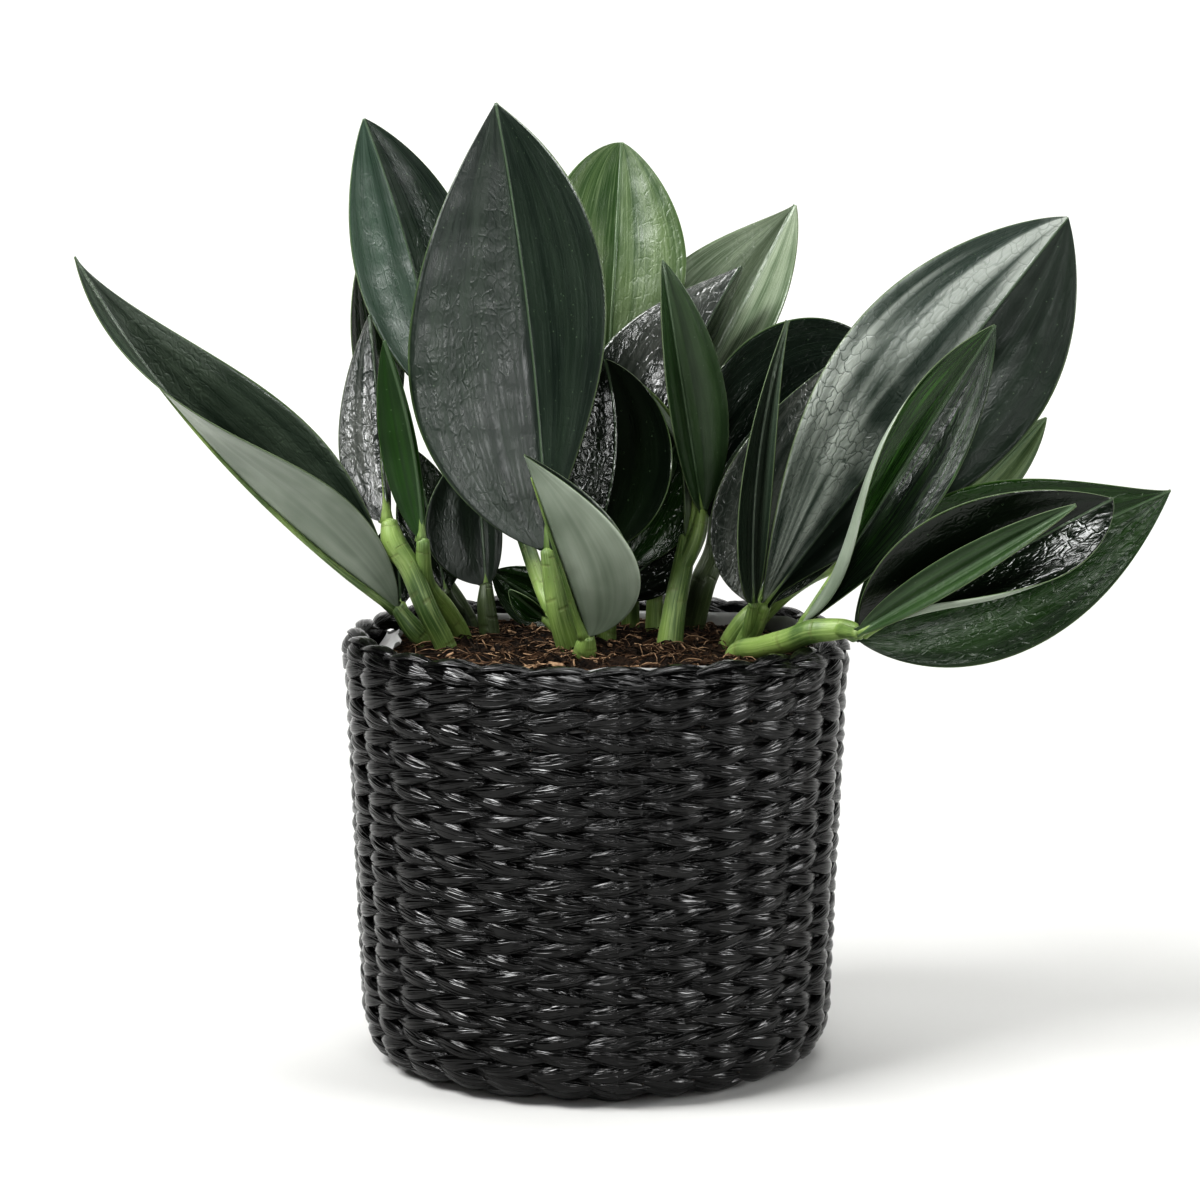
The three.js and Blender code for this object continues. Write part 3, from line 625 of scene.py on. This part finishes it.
def add_twined_line(bm, radius, height, half_width, leaning, tilt=0.0, seed=0.0, lobes=STAKES):
    """One line of twining: a strand that goes twice round, in front of every other stake"""
    lift = math.radians(tilt)
    steps = 2 * lobes * STEPS_PER_LOBE
    inset = TWIST_DEPTH + STRAND_HALF_THICKNESS

    def centre(s):
        turn = 720 * s
        twist = math.pi * lobes * turn / 360
        angle = math.radians(FIRST_LOBE + turn)
        wobble = noise.noise(Vector((math.cos(angle / 2), math.sin(angle / 2), 0.3 * seed)) * 6)
        out = TWIST_DEPTH * math.cos(twist) - inset + 0.25 * wobble
        rise = leaning * TWIST_RISE * math.sin(twist) + 0.35 * wobble
        outward = Vector((math.sin(angle), -math.cos(angle), 0))
        normal = outward * math.cos(lift) + Vector((0, 0, math.sin(lift)))
        upward = Vector((0, 0, math.cos(lift))) - outward * math.sin(lift)
        place = outward * radius + Vector((0, 0, height)) + normal * out + upward * rise
        return place, normal, twist, wobble

    rings = []
    for i in range(steps):
        s = i / steps
        middle, normal, twist, wobble = centre(s)
        ahead = (centre(s + 0.2 / steps)[0] - centre(s - 0.2 / steps)[0]).normalized()
        side = ahead.cross(normal).normalized()
        front = max(0.0, math.cos(twist))
        width = half_width * (0.46 + 0.54 * front ** 0.7) * (1 + 0.16 * wobble)
        depth = STRAND_HALF_THICKNESS * (0.8 + 0.25 * front)
        rings.append((middle, side.cross(ahead), side, width, depth))
    rings.append(rings[0])

    def place(u, v):
        middle, out, side, width, depth = rings[round(v * steps)]
        angle = 2 * math.pi * u
        bulge = math.cos(angle) + 0.1 * math.cos(3 * angle) + 0.09 * math.cos(7 * angle + seed)
        return middle + out * depth * bulge + side * width * math.sin(angle)

    length = 4 * math.pi * radius
    add_grid(bm, STRAND_SIDES, steps, place,
             lambda u, v: (u * 4 * half_width * MM, (v * length + 37 * seed) * MM), turned=True)


def basket_piece(name, lines):
    """One object for lines of twining: radius, height, half width, lean, tilt and seed of each"""
    bm = new_mesh()
    for line in lines:
        add_twined_line(bm, *line)
    finish_piece(name, bm, [strand_material], ["basket"])


for row in range(EVEN_ROWS + 1):
    broad = row == EVEN_ROWS
    middle = BROAD_ROW if broad else FIRST_ROW + ROWS_PITCH * row
    spread = BROAD_SPREAD if broad else ROW_SPREAD
    half_width = BROAD_HALF_WIDTH if broad else LINE_HALF_WIDTH
    lines = []
    for leaning in (-1, 1):
        height = middle + leaning * spread
        tilt = FOOT_TILT if height < 8 else 0
        lines.append((wall_radius(height), height, half_width, leaning, tilt, row * 2.0 + leaning))
    basket_piece(f"basket_row_{row + 1:02d}", lines)

basket_piece("basket_rim", [
    (85.2, 136.4, 4.0, 1, 8, 31.0), (84.3, 143.0, 3.4, -1, 38, 33.0),
    (80.6, 146.0, 3.2, 1, 88, 35.0), (76.6, 143.6, 3.0, -1, 150, 37.0),
])

UNDERSIDE_RINGS = [(75.6, 4.8, -34), (72, 2.2, -60), (67.4, 0.7, -84)]
UNDERSIDE_RINGS += [(62.2 - 5.5 * i, 0.7, -90) for i in range(11)]
underside_lines = []
for i, (radius, height, tilt) in enumerate(UNDERSIDE_RINGS):
    lobes = max(3, 3 * round(STAKES * radius / 80 / 3))
    underside_lines.append((radius, height, 3.2, 1 if i % 2 else -1, tilt, 50.0 + i, lobes))
basket_piece("basket_base", underside_lines)

stake_bm = new_mesh()
for stake in range(STAKES):
    angle = math.radians(FIRST_LOBE + STAKE_PITCH * (stake + 0.5))
    feet = [(r * math.sin(angle), -r * math.cos(angle), z, 0.8)
            for r, z in ((75, 8), (76.6, 20), (78.6, 70), (81, 136))]
    add_tube(stake_bm, spline(feet), 6, 6)
finish_piece("basket_stakes", stake_bm, [stake_material], ["basket"])
print("basket lines:", 2 * (EVEN_ROWS + 1) + 4 + len(UNDERSIDE_RINGS))

# %% [markdown]
# ## Liner
# The film stands against the inside of the basket. Its top edge is uneven: it folds over at the
# left, stands up to the rim at the right rear, and just shows over the rim at the front. A cloth
# simulation could crumple it, but a few sine waves at the edge give the same folds every time.

# %% Liner
FILM_RADIUS = 75.8
FILM_FOOT_RADIUS = 69
FILM_BOTTOM = 6.6
FILM_EDGE = 140.2
FILM_FLOOR_SHARE = 0.1
FILM_THICKNESS = 0.25


def film_top(angle):
    """Height of the film's edge, where angle is 0 at the front and grows towards the right"""
    rear_right = math.exp(-((angle - 2.1) / 0.5) ** 2)
    left = math.exp(-((angle + 1.45) / 0.28) ** 2)
    ragged = 0.5 * math.sin(7 * angle + 1) + 0.3 * math.sin(19 * angle)
    ragged += 1.2 * left * math.sin(47 * angle)
    front = math.exp(-((angle - 0.3) / 0.5) ** 4)
    return FILM_EDGE + 3.6 * rear_right + 4.6 * left + 4.4 * front + ragged


def film_place(u, v):
    """The film's floor, and then its wall up to the ragged edge"""
    angle = (2 * u - 1) * math.pi
    if v < FILM_FLOOR_SHARE:
        radius, z = FILM_FOOT_RADIUS * v / FILM_FLOOR_SHARE, FILM_BOTTOM
    else:
        rise = (v - FILM_FLOOR_SHARE) / (1 - FILM_FLOOR_SHARE)
        z = FILM_BOTTOM + (film_top(angle) - FILM_BOTTOM) * rise
        slack = smooth_step(0.86, 1.0, rise)
        left = math.exp(-((angle + 1.45) / 0.3) ** 2)
        crease = 0.35 * math.sin(11 * angle + 2) + 0.25 * math.sin(29 * angle)
        folded_in = left * smooth_step(136.5, 144.5, z) * (9 + 2 * math.sin(31 * angle))
        foot = (FILM_RADIUS - FILM_FOOT_RADIUS) * (1 - smooth_step(FILM_BOTTOM, 20, z))
        radius = FILM_RADIUS - foot - slack * (0.5 + crease) - folded_in
    return Vector((radius * math.sin(angle), -radius * math.cos(angle), z))


film_bm = new_mesh()
add_grid(film_bm, 180, 60, film_place)
film = finish_piece("film_liner", film_bm, [film_material], ["liner"])
thick = film.modifiers.new("thickness", "SOLIDIFY")
thick.thickness = FILM_THICKNESS * MM
thick.offset = -1
print("liner:", len(film.data.polygons), "faces")

# %% [markdown]
# ## Soil
# A lumpy top, the same waves as in the solid, with bark chips and curled fibres strewn over it.
# A particle system could strew them, but its copies are lost in an export. Seeded draws put every
# chip and fibre into one mesh, in the same place each time.

# %% Soil
SOIL_RADIUS = 75
SOIL_BOTTOM = 8
SOIL_EDGE = 136.5
FLOOR_SHARE = 0.06
WALL_SHARE = 0.06
CRUMB_HEIGHT = 2.6
STREWN_RADIUS = 74


def soil_top(x, y):
    """Height of the soil before its crumbs"""
    radius = math.hypot(x, y) / 75.6
    lumps = math.sin(0.31 * x + 0.7) * math.cos(0.27 * y) + math.sin(0.19 * x - 0.36 * y + 2.1)
    return SOIL_EDGE + 2.2 * (1 - radius * radius) + 0.9 * lumps


def soil_place(u, v):
    """The soil's floor, its wall, and its top from the edge to the middle"""
    angle = 2 * math.pi * u
    if v < FLOOR_SHARE:
        radius = SOIL_RADIUS * v / FLOOR_SHARE
        return Vector((radius * math.cos(angle), radius * math.sin(angle), SOIL_BOTTOM))
    if v < FLOOR_SHARE + WALL_SHARE:
        x, y = SOIL_RADIUS * math.cos(angle), SOIL_RADIUS * math.sin(angle)
        rise = (v - FLOOR_SHARE) / WALL_SHARE
        return Vector((x, y, SOIL_BOTTOM + (SOIL_EDGE - 1 - SOIL_BOTTOM) * rise))
    radius = SOIL_RADIUS * (1 - v) / (1 - FLOOR_SHARE - WALL_SHARE)
    x, y = radius * math.cos(angle), radius * math.sin(angle)
    crumb = noise.fractal(Vector((x, y, 0)) * 0.35, 1.0, 2.0, 4) * CRUMB_HEIGHT
    return Vector((x, y, soil_top(x, y) + crumb * smooth_step(0.0, 8.0, SOIL_RADIUS - radius)))


soil_bm = new_mesh()
add_grid(soil_bm, 150, 75, soil_place)
finish_piece("soil_bed", soil_bm, [soil_material], ["soil"])

draw = random.Random(11)
CHIPS = 1300
FIBRES = 1100


def random_spot():
    """A place on the soil, as likely near the edge as in the middle"""
    radius = STREWN_RADIUS * math.sqrt(draw.random())
    angle = draw.uniform(0, 2 * math.pi)
    x, y = radius * math.cos(angle), radius * math.sin(angle)
    return Vector((x, y, soil_top(x, y)))


chip_bm = new_mesh()
for _ in range(CHIPS):
    spot = random_spot() + Vector((0, 0, draw.uniform(-0.2, 1.2)))
    length = draw.uniform(1.0, 5.5) * draw.uniform(0.5, 1)
    size = Vector((length, length * draw.uniform(0.3, 0.6), length * draw.uniform(0.12, 0.3)))
    spin = Quaternion((0, 0, 1), draw.uniform(0, 2 * math.pi))
    spin = spin @ Quaternion((1, 0, 0), draw.uniform(-0.6, 0.6))
    spin = spin @ Quaternion((0, 1, 0), draw.uniform(-0.5, 0.5))
    made = bmesh.ops.create_cube(chip_bm, size=1.0)["verts"]
    taper = draw.uniform(0.3, 0.8)
    tone = draw.choice((0, 0, 1, 1, 1, 2))
    for vert in made:
        narrow = taper if vert.co.x > 0 else 1.0
        local = Vector((vert.co.x * size.x, vert.co.y * size.y * narrow, vert.co.z * size.z * narrow))
        vert.co = (spot + spin @ local) * MM
    for face in {face for vert in made for face in vert.link_faces}:
        face.material_index = tone
finish_piece("soil_bark", chip_bm, chip_materials, weld=False)

fibre_bm = new_mesh()
for _ in range(FIBRES):
    spot = random_spot()
    heading = draw.uniform(0, 2 * math.pi)
    length = draw.uniform(4, 15)
    bend = draw.uniform(-1.2, 1.2)
    radius = draw.uniform(0.12, 0.42)
    points = []
    for i in range(4):
        share_along = i / 3
        angle = heading + bend * share_along
        lift = draw.uniform(0.0, 1.0) + 1.4 * math.sin(math.pi * share_along) * draw.random()
        step = Vector((math.cos(angle), math.sin(angle), 0)) * length * (share_along - 0.5)
        x, y = spot.x + step.x, spot.y + step.y
        reach = math.hypot(x, y)
        if reach > STREWN_RADIUS:
            x, y = x * STREWN_RADIUS / reach, y * STREWN_RADIUS / reach
        points.append((x, y, soil_top(x, y) + 0.5 + lift, radius * (1 - 0.5 * share_along)))
    add_tube(fibre_bm, spline(points), 5, 4, slot=draw.choice((0, 1, 1, 2)), flat=0.5)
finish_piece("soil_fibres", fibre_bm, chip_materials, weld=False)
print("soil:", CHIPS, "chips and", FIBRES, "fibres")

# %% [markdown]
# ## Stems
# Each shoot is a trunk in the soil with petioles that leave it further up. A point is x, y, z and
# radius in millimetres, as in the CAD source. Each run ends where a blade begins. A curve object
# with a bevel would make such tubes too, but it has no map in metres for the fibres of the skin.

# %% Stems
SOIL_FOOT = 126
SOIL_TOP = 137


def rooted(x, y, radius):
    """The two points of a trunk that stand in the soil"""
    return (x, y, SOIL_FOOT, radius), (x, y, SOIL_TOP, radius)


STEMS = {
    "far_left": [
        [*rooted(-56.6, 12.5, 3.8), (-62.4, 10, 144.4, 3.6), (-67.4, 10, 151.2, 2.5)],
        [(-58.5, 12, 140, 2.2), (-64, 18, 146, 2), (-66.9, 23.2, 150.2, 1.7)]],
    "left_fork": [
        [*rooted(-50.2, 2, 3.8), (-56.9, -2, 152.7, 3.8), (-63, -1, 167.3, 3.8), (-68, 0, 175, 4.2),
         (-69.6, 1.6, 181.8, 2.8)],
        [*rooted(-46, 24, 3.8), (-51, 13, 150, 3.4), (-57.4, 2, 161, 3.2), (-58, -3.2, 176, 2.2)]],
    "back_left": [
        [*rooted(-43, 50, 3), (-60, 54, 165, 2.6), (-70, 52, 190, 2.4), (-73.6, 50, 206.8, 2)],
        [(-47, 50.5, 142, 2.6), (-51, 46, 148, 2.4), (-52.2, 44.2, 152, 1.8)]],
    "dark_left": [[*rooted(-36.6, 31, 3.6), (-37.9, 31.4, 149, 3.2), (-38, 34, 155.4, 2.2)]],
    "front_fork": [
        [*rooted(-8.4, -4, 4.6), (-12, -8, 151.5, 4.1), (-14.4, -8, 163.4, 3.5),
         (-16.2, -8, 173.4, 2.4)],
        [(-10, -6, 144, 3.2), (-16, -2, 155, 3), (-20.3, 8, 164, 2.8), (-26, 20, 178, 2.6),
         (-36, 26, 200, 2.4), (-46, 36, 210, 2.3), (-53.6, 44.6, 218.1, 2)],
        [(-12.6, -6, 146, 2.2), (-17.4, -5, 150, 1.5)]],
    "front_small": [[*rooted(-4, -15.5, 4.2), (-3.4, -20, 143, 3.6), (-2.8, -22, 146.6, 2.4)]],
    "middle": [
        [*rooted(3.4, 10, 3.6), (4, 10, 148, 3), (5.6, 17, 157, 2.4), (6.8, 21, 163, 1.9)],
        [(3.9, 9, 147, 2.6), (1, 4, 162, 2.2), (-1.7, 0.8, 172.2, 1.8)]],
    "back_low": [[*rooted(1, 38, 3), (4, 35, 149, 2.6), (5.2, 34.2, 152, 1.9)]],
    "soil_left": [[(-10, 40, 126, 2.6), (-10, 40, 139, 2.4), (-11.6, 40.4, 143.6, 1.7)]],
    "centre": [
        [*rooted(24.7, 3, 4.6), (26.7, 5, 152.7, 3.9), (29.4, 9, 165.9, 3.5), (30.6, 12, 175.6, 2.4)],
        [(29, 8.5, 164, 2.8), (34, 8, 176, 2.5), (35.7, 9.4, 184.4, 1.9)],
        [(29.2, 9, 164.5, 2.8), (35, 17, 175, 2.5), (36.7, 19.8, 181.8, 1.9)]],
    "back_centre": [
        [*rooted(20, 44, 3), (21, 44, 165, 2.6), (21, 41, 185, 2.4), (20.2, 34.8, 195.4, 1.9)]],
    "back_tall": [[*rooted(12, 47, 3.2), (11, 51, 180, 2.8), (4.4, 50.2, 228.2, 2.1)]],
    "right_back": [
        [*rooted(33, 45, 4.8), (36.5, 40, 154, 4.6), (42, 45, 168, 4), (41, 58, 195, 3),
         (34, 63, 216, 2.2)]],
    "right_fork": [
        [*rooted(44.3, 6, 3.6), (49.2, 2.6, 146.9, 3.4), (54, 2.2, 153, 2.4)],
        [*rooted(49, 0, 3.6), (53.2, -6, 147.4, 3.4), (56.4, -9.6, 155.4, 2.4)],
        [(50.8, -3, 142, 2.6), (51.8, -9, 150, 2.2), (52.6, -12.6, 156.4, 1.7)]],
    "arching_right": [
        [*rooted(52, 41, 4.4), (60.5, 39, 148.8, 4.2), (72.5, 41, 157.6, 3.8), (84, 44, 162, 3.4),
         (102, 39, 168.5, 2.6), (117.4, 30.4, 174.4, 2.1)]],
    "trailing": [
        [(46.6, -8.6, 126, 3.4), (46.6, -9.4, 138, 3.5), (55.8, -21, 142.9, 3.8),
         (64.5, -33, 147.4, 4), (70.5, -38.5, 150.8, 4), (77, -42, 152, 3.7), (82, -45, 152.6, 3.1),
         (86.3, -48.8, 151.7, 2.1)],
        [(79, -43.4, 152.4, 2.4), (81.6, -52, 152.8, 2), (84.2, -58.7, 153.4, 1.6)],
        [(76, -41, 151.8, 2.8), (81.5, -34.5, 150.6, 2.5), (85.2, -30.8, 147.8, 2)],
        [(65, -33, 148, 2.6), (66.6, -30, 149.4, 2.3), (68.4, -28.6, 151.8, 1.8)]],
}
# Rear petioles that get the darker copy of the skin, painted shade
SHADED_STEMS = {"dark_left", "right_back", "back_left", "back_low"}
STEM_SIDES = 16
STATIONS_PER_SPAN = 7

for name, runs in STEMS.items():
    bm = new_mesh()
    for run in runs:
        add_tube(bm, spline(run), STATIONS_PER_SPAN * (len(run) - 1), STEM_SIDES)
    skin = shaded_stem_material if name in SHADED_STEMS else stem_material
    finish_piece(f"stem_{name}_green", bm, [skin], ["stem_" + name])
print("stems:", len(STEMS))

# %% [markdown]
# ## Leaves
# A blade starts on the end of its petiole, the run of that stem, and goes to its tip. Pairs are
# for the left and right half. halves is their greatest width, and low and high shape the outline
# towards the foot and towards the tip. turn swings the upper face round the midrib, 0 facing the
# viewer, and twist turns it further on the way to the tip. fold is how far each half rises at the
# foot and fold_tip at the tip, and open how soon the one becomes the other. bow and sway bend the
# midrib, forward and sideways. wave is the height of the ripple along the margin, and ribs that of
# the soft ridges beside the midrib. curls rolls the margins in. Lengths are in millimetres and
# angles in degrees. look names the material of the upper face.

# %% Leaf table
LEAF_DEFAULTS = {
    "run": 0, "turn": 0, "twist": 0, "fold": 15, "fold_tip": None, "open": 1, "bow": 0, "sway": 0,
    "wave": 0, "low": (0.75, 0.75), "high": (0.9, 0.9), "look": "dark", "ribs": 0.35, "curls": (0, 0),
}
LEAVES = {
    "far_left": dict(stem="far_left", tip=(-170.5, -20, 272), halves=(39, 32), turn=54, twist=-18,
        fold=88, fold_tip=5, open=0.45, bow=-13, low=(0.73, 0.9), high=(1.15, 1.5), look="ash"),
    "upper_left": dict(stem="front_fork", run=1, tip=(-80.3, 60, 314.7), halves=(26, 23), turn=31,
        sway=3, look="slate_sheen"),
    "tall_centre": dict(stem="front_fork", tip=(-33.6, 20, 321), halves=(42, 35), turn=-21, fold=20,
        sway=3, wave=0.8, ribs=0.25, low=(0.69, 1.4), high=(1, 1.05)),
    "small_front": dict(stem="front_small", tip=(-23.2, -40, 209), halves=(25.5, 22.5), turn=80,
        fold=80, fold_tip=74, low=(0.55, 0.55), high=(1, 1)),
    "back_centre": dict(stem="back_tall", tip=(9, 75, 306), halves=(26, 25.5), low=(0.6, 0.6),
        high=(0.62, 0.8), look="fresh"),
    "back_right": dict(stem="right_back", tip=(70, 79, 284), halves=(31, 25), turn=-24, fold=40,
        low=(0.6, 0.6), high=(1.2, 0.9), look="pale"),
    "narrow_upright": dict(stem="centre", run=1, tip=(22, 0, 269.6), halves=(15.5, 14.5), turn=40,
        fold=30, low=(0.7, 0.7), look="satin"),
    "edge_on": dict(stem="centre", tip=(2.7, 12, 235), halves=(12, 8), turn=-103, fold=10, bow=-13,
        low=(0.5, 0.5), high=(1.2, 1.2)),
    "black_glossy": dict(stem="middle", run=1, tip=(3, 9, 235.8), halves=(24, 24), turn=-15, fold=24,
        sway=6, look="inky"),
    "striped_tip": dict(stem="back_centre", tip=(50, 46, 264.6), halves=(31.2, 20.8), turn=32,
        fold=-44, sway=-4, low=(0.52, 0.98), high=(1.17, 0.63), look="mirror"),
    "streaked_low": dict(stem="middle", tip=(32, 35, 213.8), halves=(17, 17), fold=10, look="green"),
    "dark_low": dict(stem="back_low", tip=(35.8, 34, 178.1), halves=(12, 12), fold=10, look="black"),
    "hooked_right": dict(stem="centre", run=2, tip=(99, 45, 231), halves=(26, 29), sway=-12,
        low=(0.94, 0.56), high=(0.68, 1.12), look="gloss"),
    "ovate_right": dict(stem="right_fork", tip=(85.6, 25, 237), halves=(26.5, 27), fold=12,
        low=(0.5, 0.75), high=(1, 0.6), look="pewter_sheen"),
    "rolled_young": dict(stem="right_fork", run=2, tip=(63.3, -12, 250.5), halves=(12, 10.5), fold=65,
        sway=-4, low=(0.5, 0.75), high=(1.2, 1.2), look="ash"),
    "large_right": dict(stem="right_fork", run=1, tip=(155.4, -10, 284.4), halves=(38.5, 34), fold=60,
        fold_tip=5, open=1.5, wave=0.8, ribs=1, low=(0.78, 1.3), high=(0.85, 0.9), look="silver_sheen"),
    "front_right": dict(stem="trailing", run=3, tip=(130, -30, 250.5), halves=(21.5, 16.5), turn=14,
        fold=86, fold_tip=20, open=2, low=(0.85, 0.85), curls=(95, 0), look="striped"),
    "low_right": dict(stem="trailing", tip=(161.5, -90, 201), halves=(26, 20.5), turn=-25, twist=12,
        fold=64, fold_tip=5, open=0.55, low=(0.78, 1.1), high=(0.98, 0.7), curls=(0, 120),
        look="black"),
    "spear": dict(stem="trailing", run=1, tip=(149, -98, 200), halves=(7, 7), turn=-30, fold=40,
        look="satin"),
    "rear_low_right": dict(stem="trailing", run=2, tip=(189, -25, 195.7), halves=(31, 28), fold=7,
        wave=0.8, low=(0.8, 0.75), high=(1.25, 0.95), look="green"),
    "behind_large": dict(stem="arching_right", tip=(153.5, 25, 214.5), halves=(12, 10), turn=30,
        look="fresh"),
    "green_upright": dict(stem="left_fork", run=1, tip=(-70.5, -2, 243), halves=(10.5, 5), turn=38,
        fold=-38, sway=3, look="moss"),
    "glossy_left": dict(stem="left_fork", tip=(-76, 12, 250.5), halves=(14.5, 11), turn=42, fold=-42,
        low=(0.5, 0.75), high=(0.95, 0.9), look="mirror"),
    "back_left": dict(stem="back_left", tip=(-82.5, 50, 263.7), halves=(16, 16), turn=60, fold=10,
        look="green"),
    "dark_left": dict(stem="dark_left", tip=(-41.4, 40, 205.2), halves=(20, 7), low=(0.6, 0.6)),
    "dark_narrow": dict(stem="back_left", run=1, tip=(-63, 50, 200.6), halves=(12, 12), look="black"),
    "low_left": dict(stem="far_left", run=1, tip=(-68.9, 34, 178.1), halves=(11, 7), look="black"),
    "at_soil": dict(stem="soil_left", tip=(-36.7, 56, 157), halves=(10, 10), fold=10, low=(0.6, 0.6),
        look="green"),
    "bract": dict(stem="front_fork", run=2, tip=(-29, -8, 160), halves=(4.5, 4.5), turn=-20, fold=40,
        look="green"),
}

# %% [markdown]
# A blade could be cut from a plane and bent by hand. Here it is a grid that narrows to both ends,
# so that its edge loop is the margin, and every leaf is a row of numbers. The outline is a product
# of two powers, which is 0 at both ends and 1 at the widest place. Each row of the grid is a
# straight rib out from the midrib, raised by the fold. Where the margin is rolled in, the rib goes
# on in an arc.

# %% Leaf shape
LEAF_COLUMNS = 32
LEAF_ROWS = 72
ROW_CROWDING = 0.08
TIP_HALF_WIDTH = 0.25
BLADE_THICKNESS = 0.4
KEEL_SHARE = 0.88
CURL_START = 0.8
LEAST_CURL = 1e-4
WIDER_AT_FOOT = 0.3


def outline(t, low, high):
    """Half width along the blade: 0 at both ends, 1 at the widest"""
    if not 0 < t < 1:
        return 0.0
    widest = low / (low + high)
    return (t / widest) ** low * ((1 - t) / (1 - widest)) ** high


class Blade:
    """The surface of one blade, in millimetres"""

    def __init__(self, settings):
        self.leaf = {**LEAF_DEFAULTS, **settings}
        run = STEMS[self.leaf["stem"]][self.leaf["run"]]
        self.foot = Vector(run[-1][:3])
        self.foot_radius = run[-1][3]
        self.along = Vector(self.leaf["tip"]) - self.foot
        axis = self.along.normalized()
        face = Vector((0, -1, 0))
        face = (face - axis * face.dot(axis)).normalized()
        self.face = Quaternion(axis, math.radians(self.leaf["turn"])) @ face
        self.across = axis.cross(self.face)
        self.rows = {}

    def midrib(self, t):
        leaf = self.leaf
        return (self.foot + self.along * t
                + (self.face * leaf["bow"] + self.across * leaf["sway"]) * 4 * t * (1 - t))

    def row(self, t):
        """Middle, direction, upper normal, right side and fold of the blade at t"""
        if t not in self.rows:
            leaf = self.leaf
            ahead = (self.midrib(t + 0.005) - self.midrib(t - 0.005)).normalized()
            up = (self.face - ahead * self.face.dot(ahead)).normalized()
            up = Quaternion(ahead, math.radians(leaf["twist"]) * t * t) @ up
            tip_fold = leaf["fold"] if leaf["fold_tip"] is None else leaf["fold_tip"]
            fold = math.radians(tip_fold + (leaf["fold"] - tip_fold) * max(1 - t, 0.0) ** leaf["open"])
            self.rows[t] = (self.midrib(t), ahead, up, ahead.cross(up), fold)
        return self.rows[t]

    def half_width(self, t, sign):
        leaf = self.leaf
        half = 0 if sign < 0 else 1
        least = TIP_HALF_WIDTH + (self.foot_radius - TIP_HALF_WIDTH) * (1 - t) ** 6
        return max(least, leaf["halves"][half] * outline(t, leaf["low"][half], leaf["high"][half]))

    def point(self, t, q):
        """The point a share q of the way from the midrib to the margin, left below 0"""
        leaf = self.leaf
        middle, _, up, side, fold = self.row(t)
        sign = math.copysign(1, q) if q else 0
        out = abs(q)
        half = self.half_width(t, sign)
        bell = 4 * t * (1 - t)
        ripple = leaf["wave"] * math.sin(3 * math.pi * t + sign * 0.8) * out * out * bell
        ribs = leaf["ribs"] * math.sin(9.5 * out + 2.0 * sign) * smooth_step(0, 0.2, out) * bell
        spread = 0.6 * abs(math.sin(fold)) * smooth_step(0, 0.12, out)
        start = CURL_START - WIDER_AT_FOOT * (1 - smooth_step(0.05, 0.6, t)) * (leaf["curls"] != (0, 0))
        flat = min(out, start)
        reach = flat * math.cos(fold)
        rise = flat * math.sin(fold)
        curl = math.radians(leaf["curls"][0 if sign < 0 else 1]) * (1 - smooth_step(0.5, 0.95, t))
        if out > start:
            curl = curl or LEAST_CURL
            turned = fold + curl * (out - start) / (1 - start)
            bend = (1 - start) / curl
            reach += bend * (math.sin(turned) - math.sin(fold))
            rise += bend * (math.cos(fold) - math.cos(turned))
        return middle + side * sign * (reach * half + spread) + up * (rise * half + ripple + ribs)


def add_leaf(name, settings):
    """A blade with a keel under its midrib, which grows out of the petiole"""
    blade = Blade(settings)
    length = blade.along.length

    def t_of(v):
        return min(max(v - ROW_CROWDING * math.sin(2 * math.pi * v), 0.0), 1.0)

    def place(u, v):
        return blade.point(t_of(round(v, 6)), round(2 * u - 1, 6))

    def chart(u, v):
        t = t_of(v)
        q = 2 * u - 1
        return q * blade.half_width(t, math.copysign(1, q)) * MM, t * length * MM

    bm = new_mesh()
    add_grid(bm, LEAF_COLUMNS, LEAF_ROWS, place, chart)
    look = LOOKS[blade.leaf["look"]]
    piece = finish_piece(name + "_blade", bm, [look, under_material, rim_material], [name])
    thick = piece.modifiers.new("thickness", "SOLIDIFY")
    thick.thickness = BLADE_THICKNESS * MM
    thick.offset = 0
    thick.material_offset = 1
    thick.material_offset_rim = 2

    def keel(s):
        middle, _, up, _, _ = blade.row(KEEL_SHARE * s)
        radius = 0.3 + (blade.foot_radius - 0.3) * (1 - s ** 0.4)
        sink = radius * (0.55 + 0.45 * smooth_step(0, 0.15, s))
        return (middle - up * sink).resized(4) + Vector((0, 0, 0, radius))

    keel_bm = new_mesh()
    add_tube(keel_bm, keel, 30, 8)
    finish_piece(name + "_keel", keel_bm, [stem_material])


# %% [markdown]
# Each blade is a thin grid that a modifier thickens, so that the underside and the rim get their
# own materials. A keel under the midrib joins it to its petiole.

# %% Leaves
for name, settings in LEAVES.items():
    add_leaf("leaf_" + name, settings)
print("leaves:", len(LEAVES))
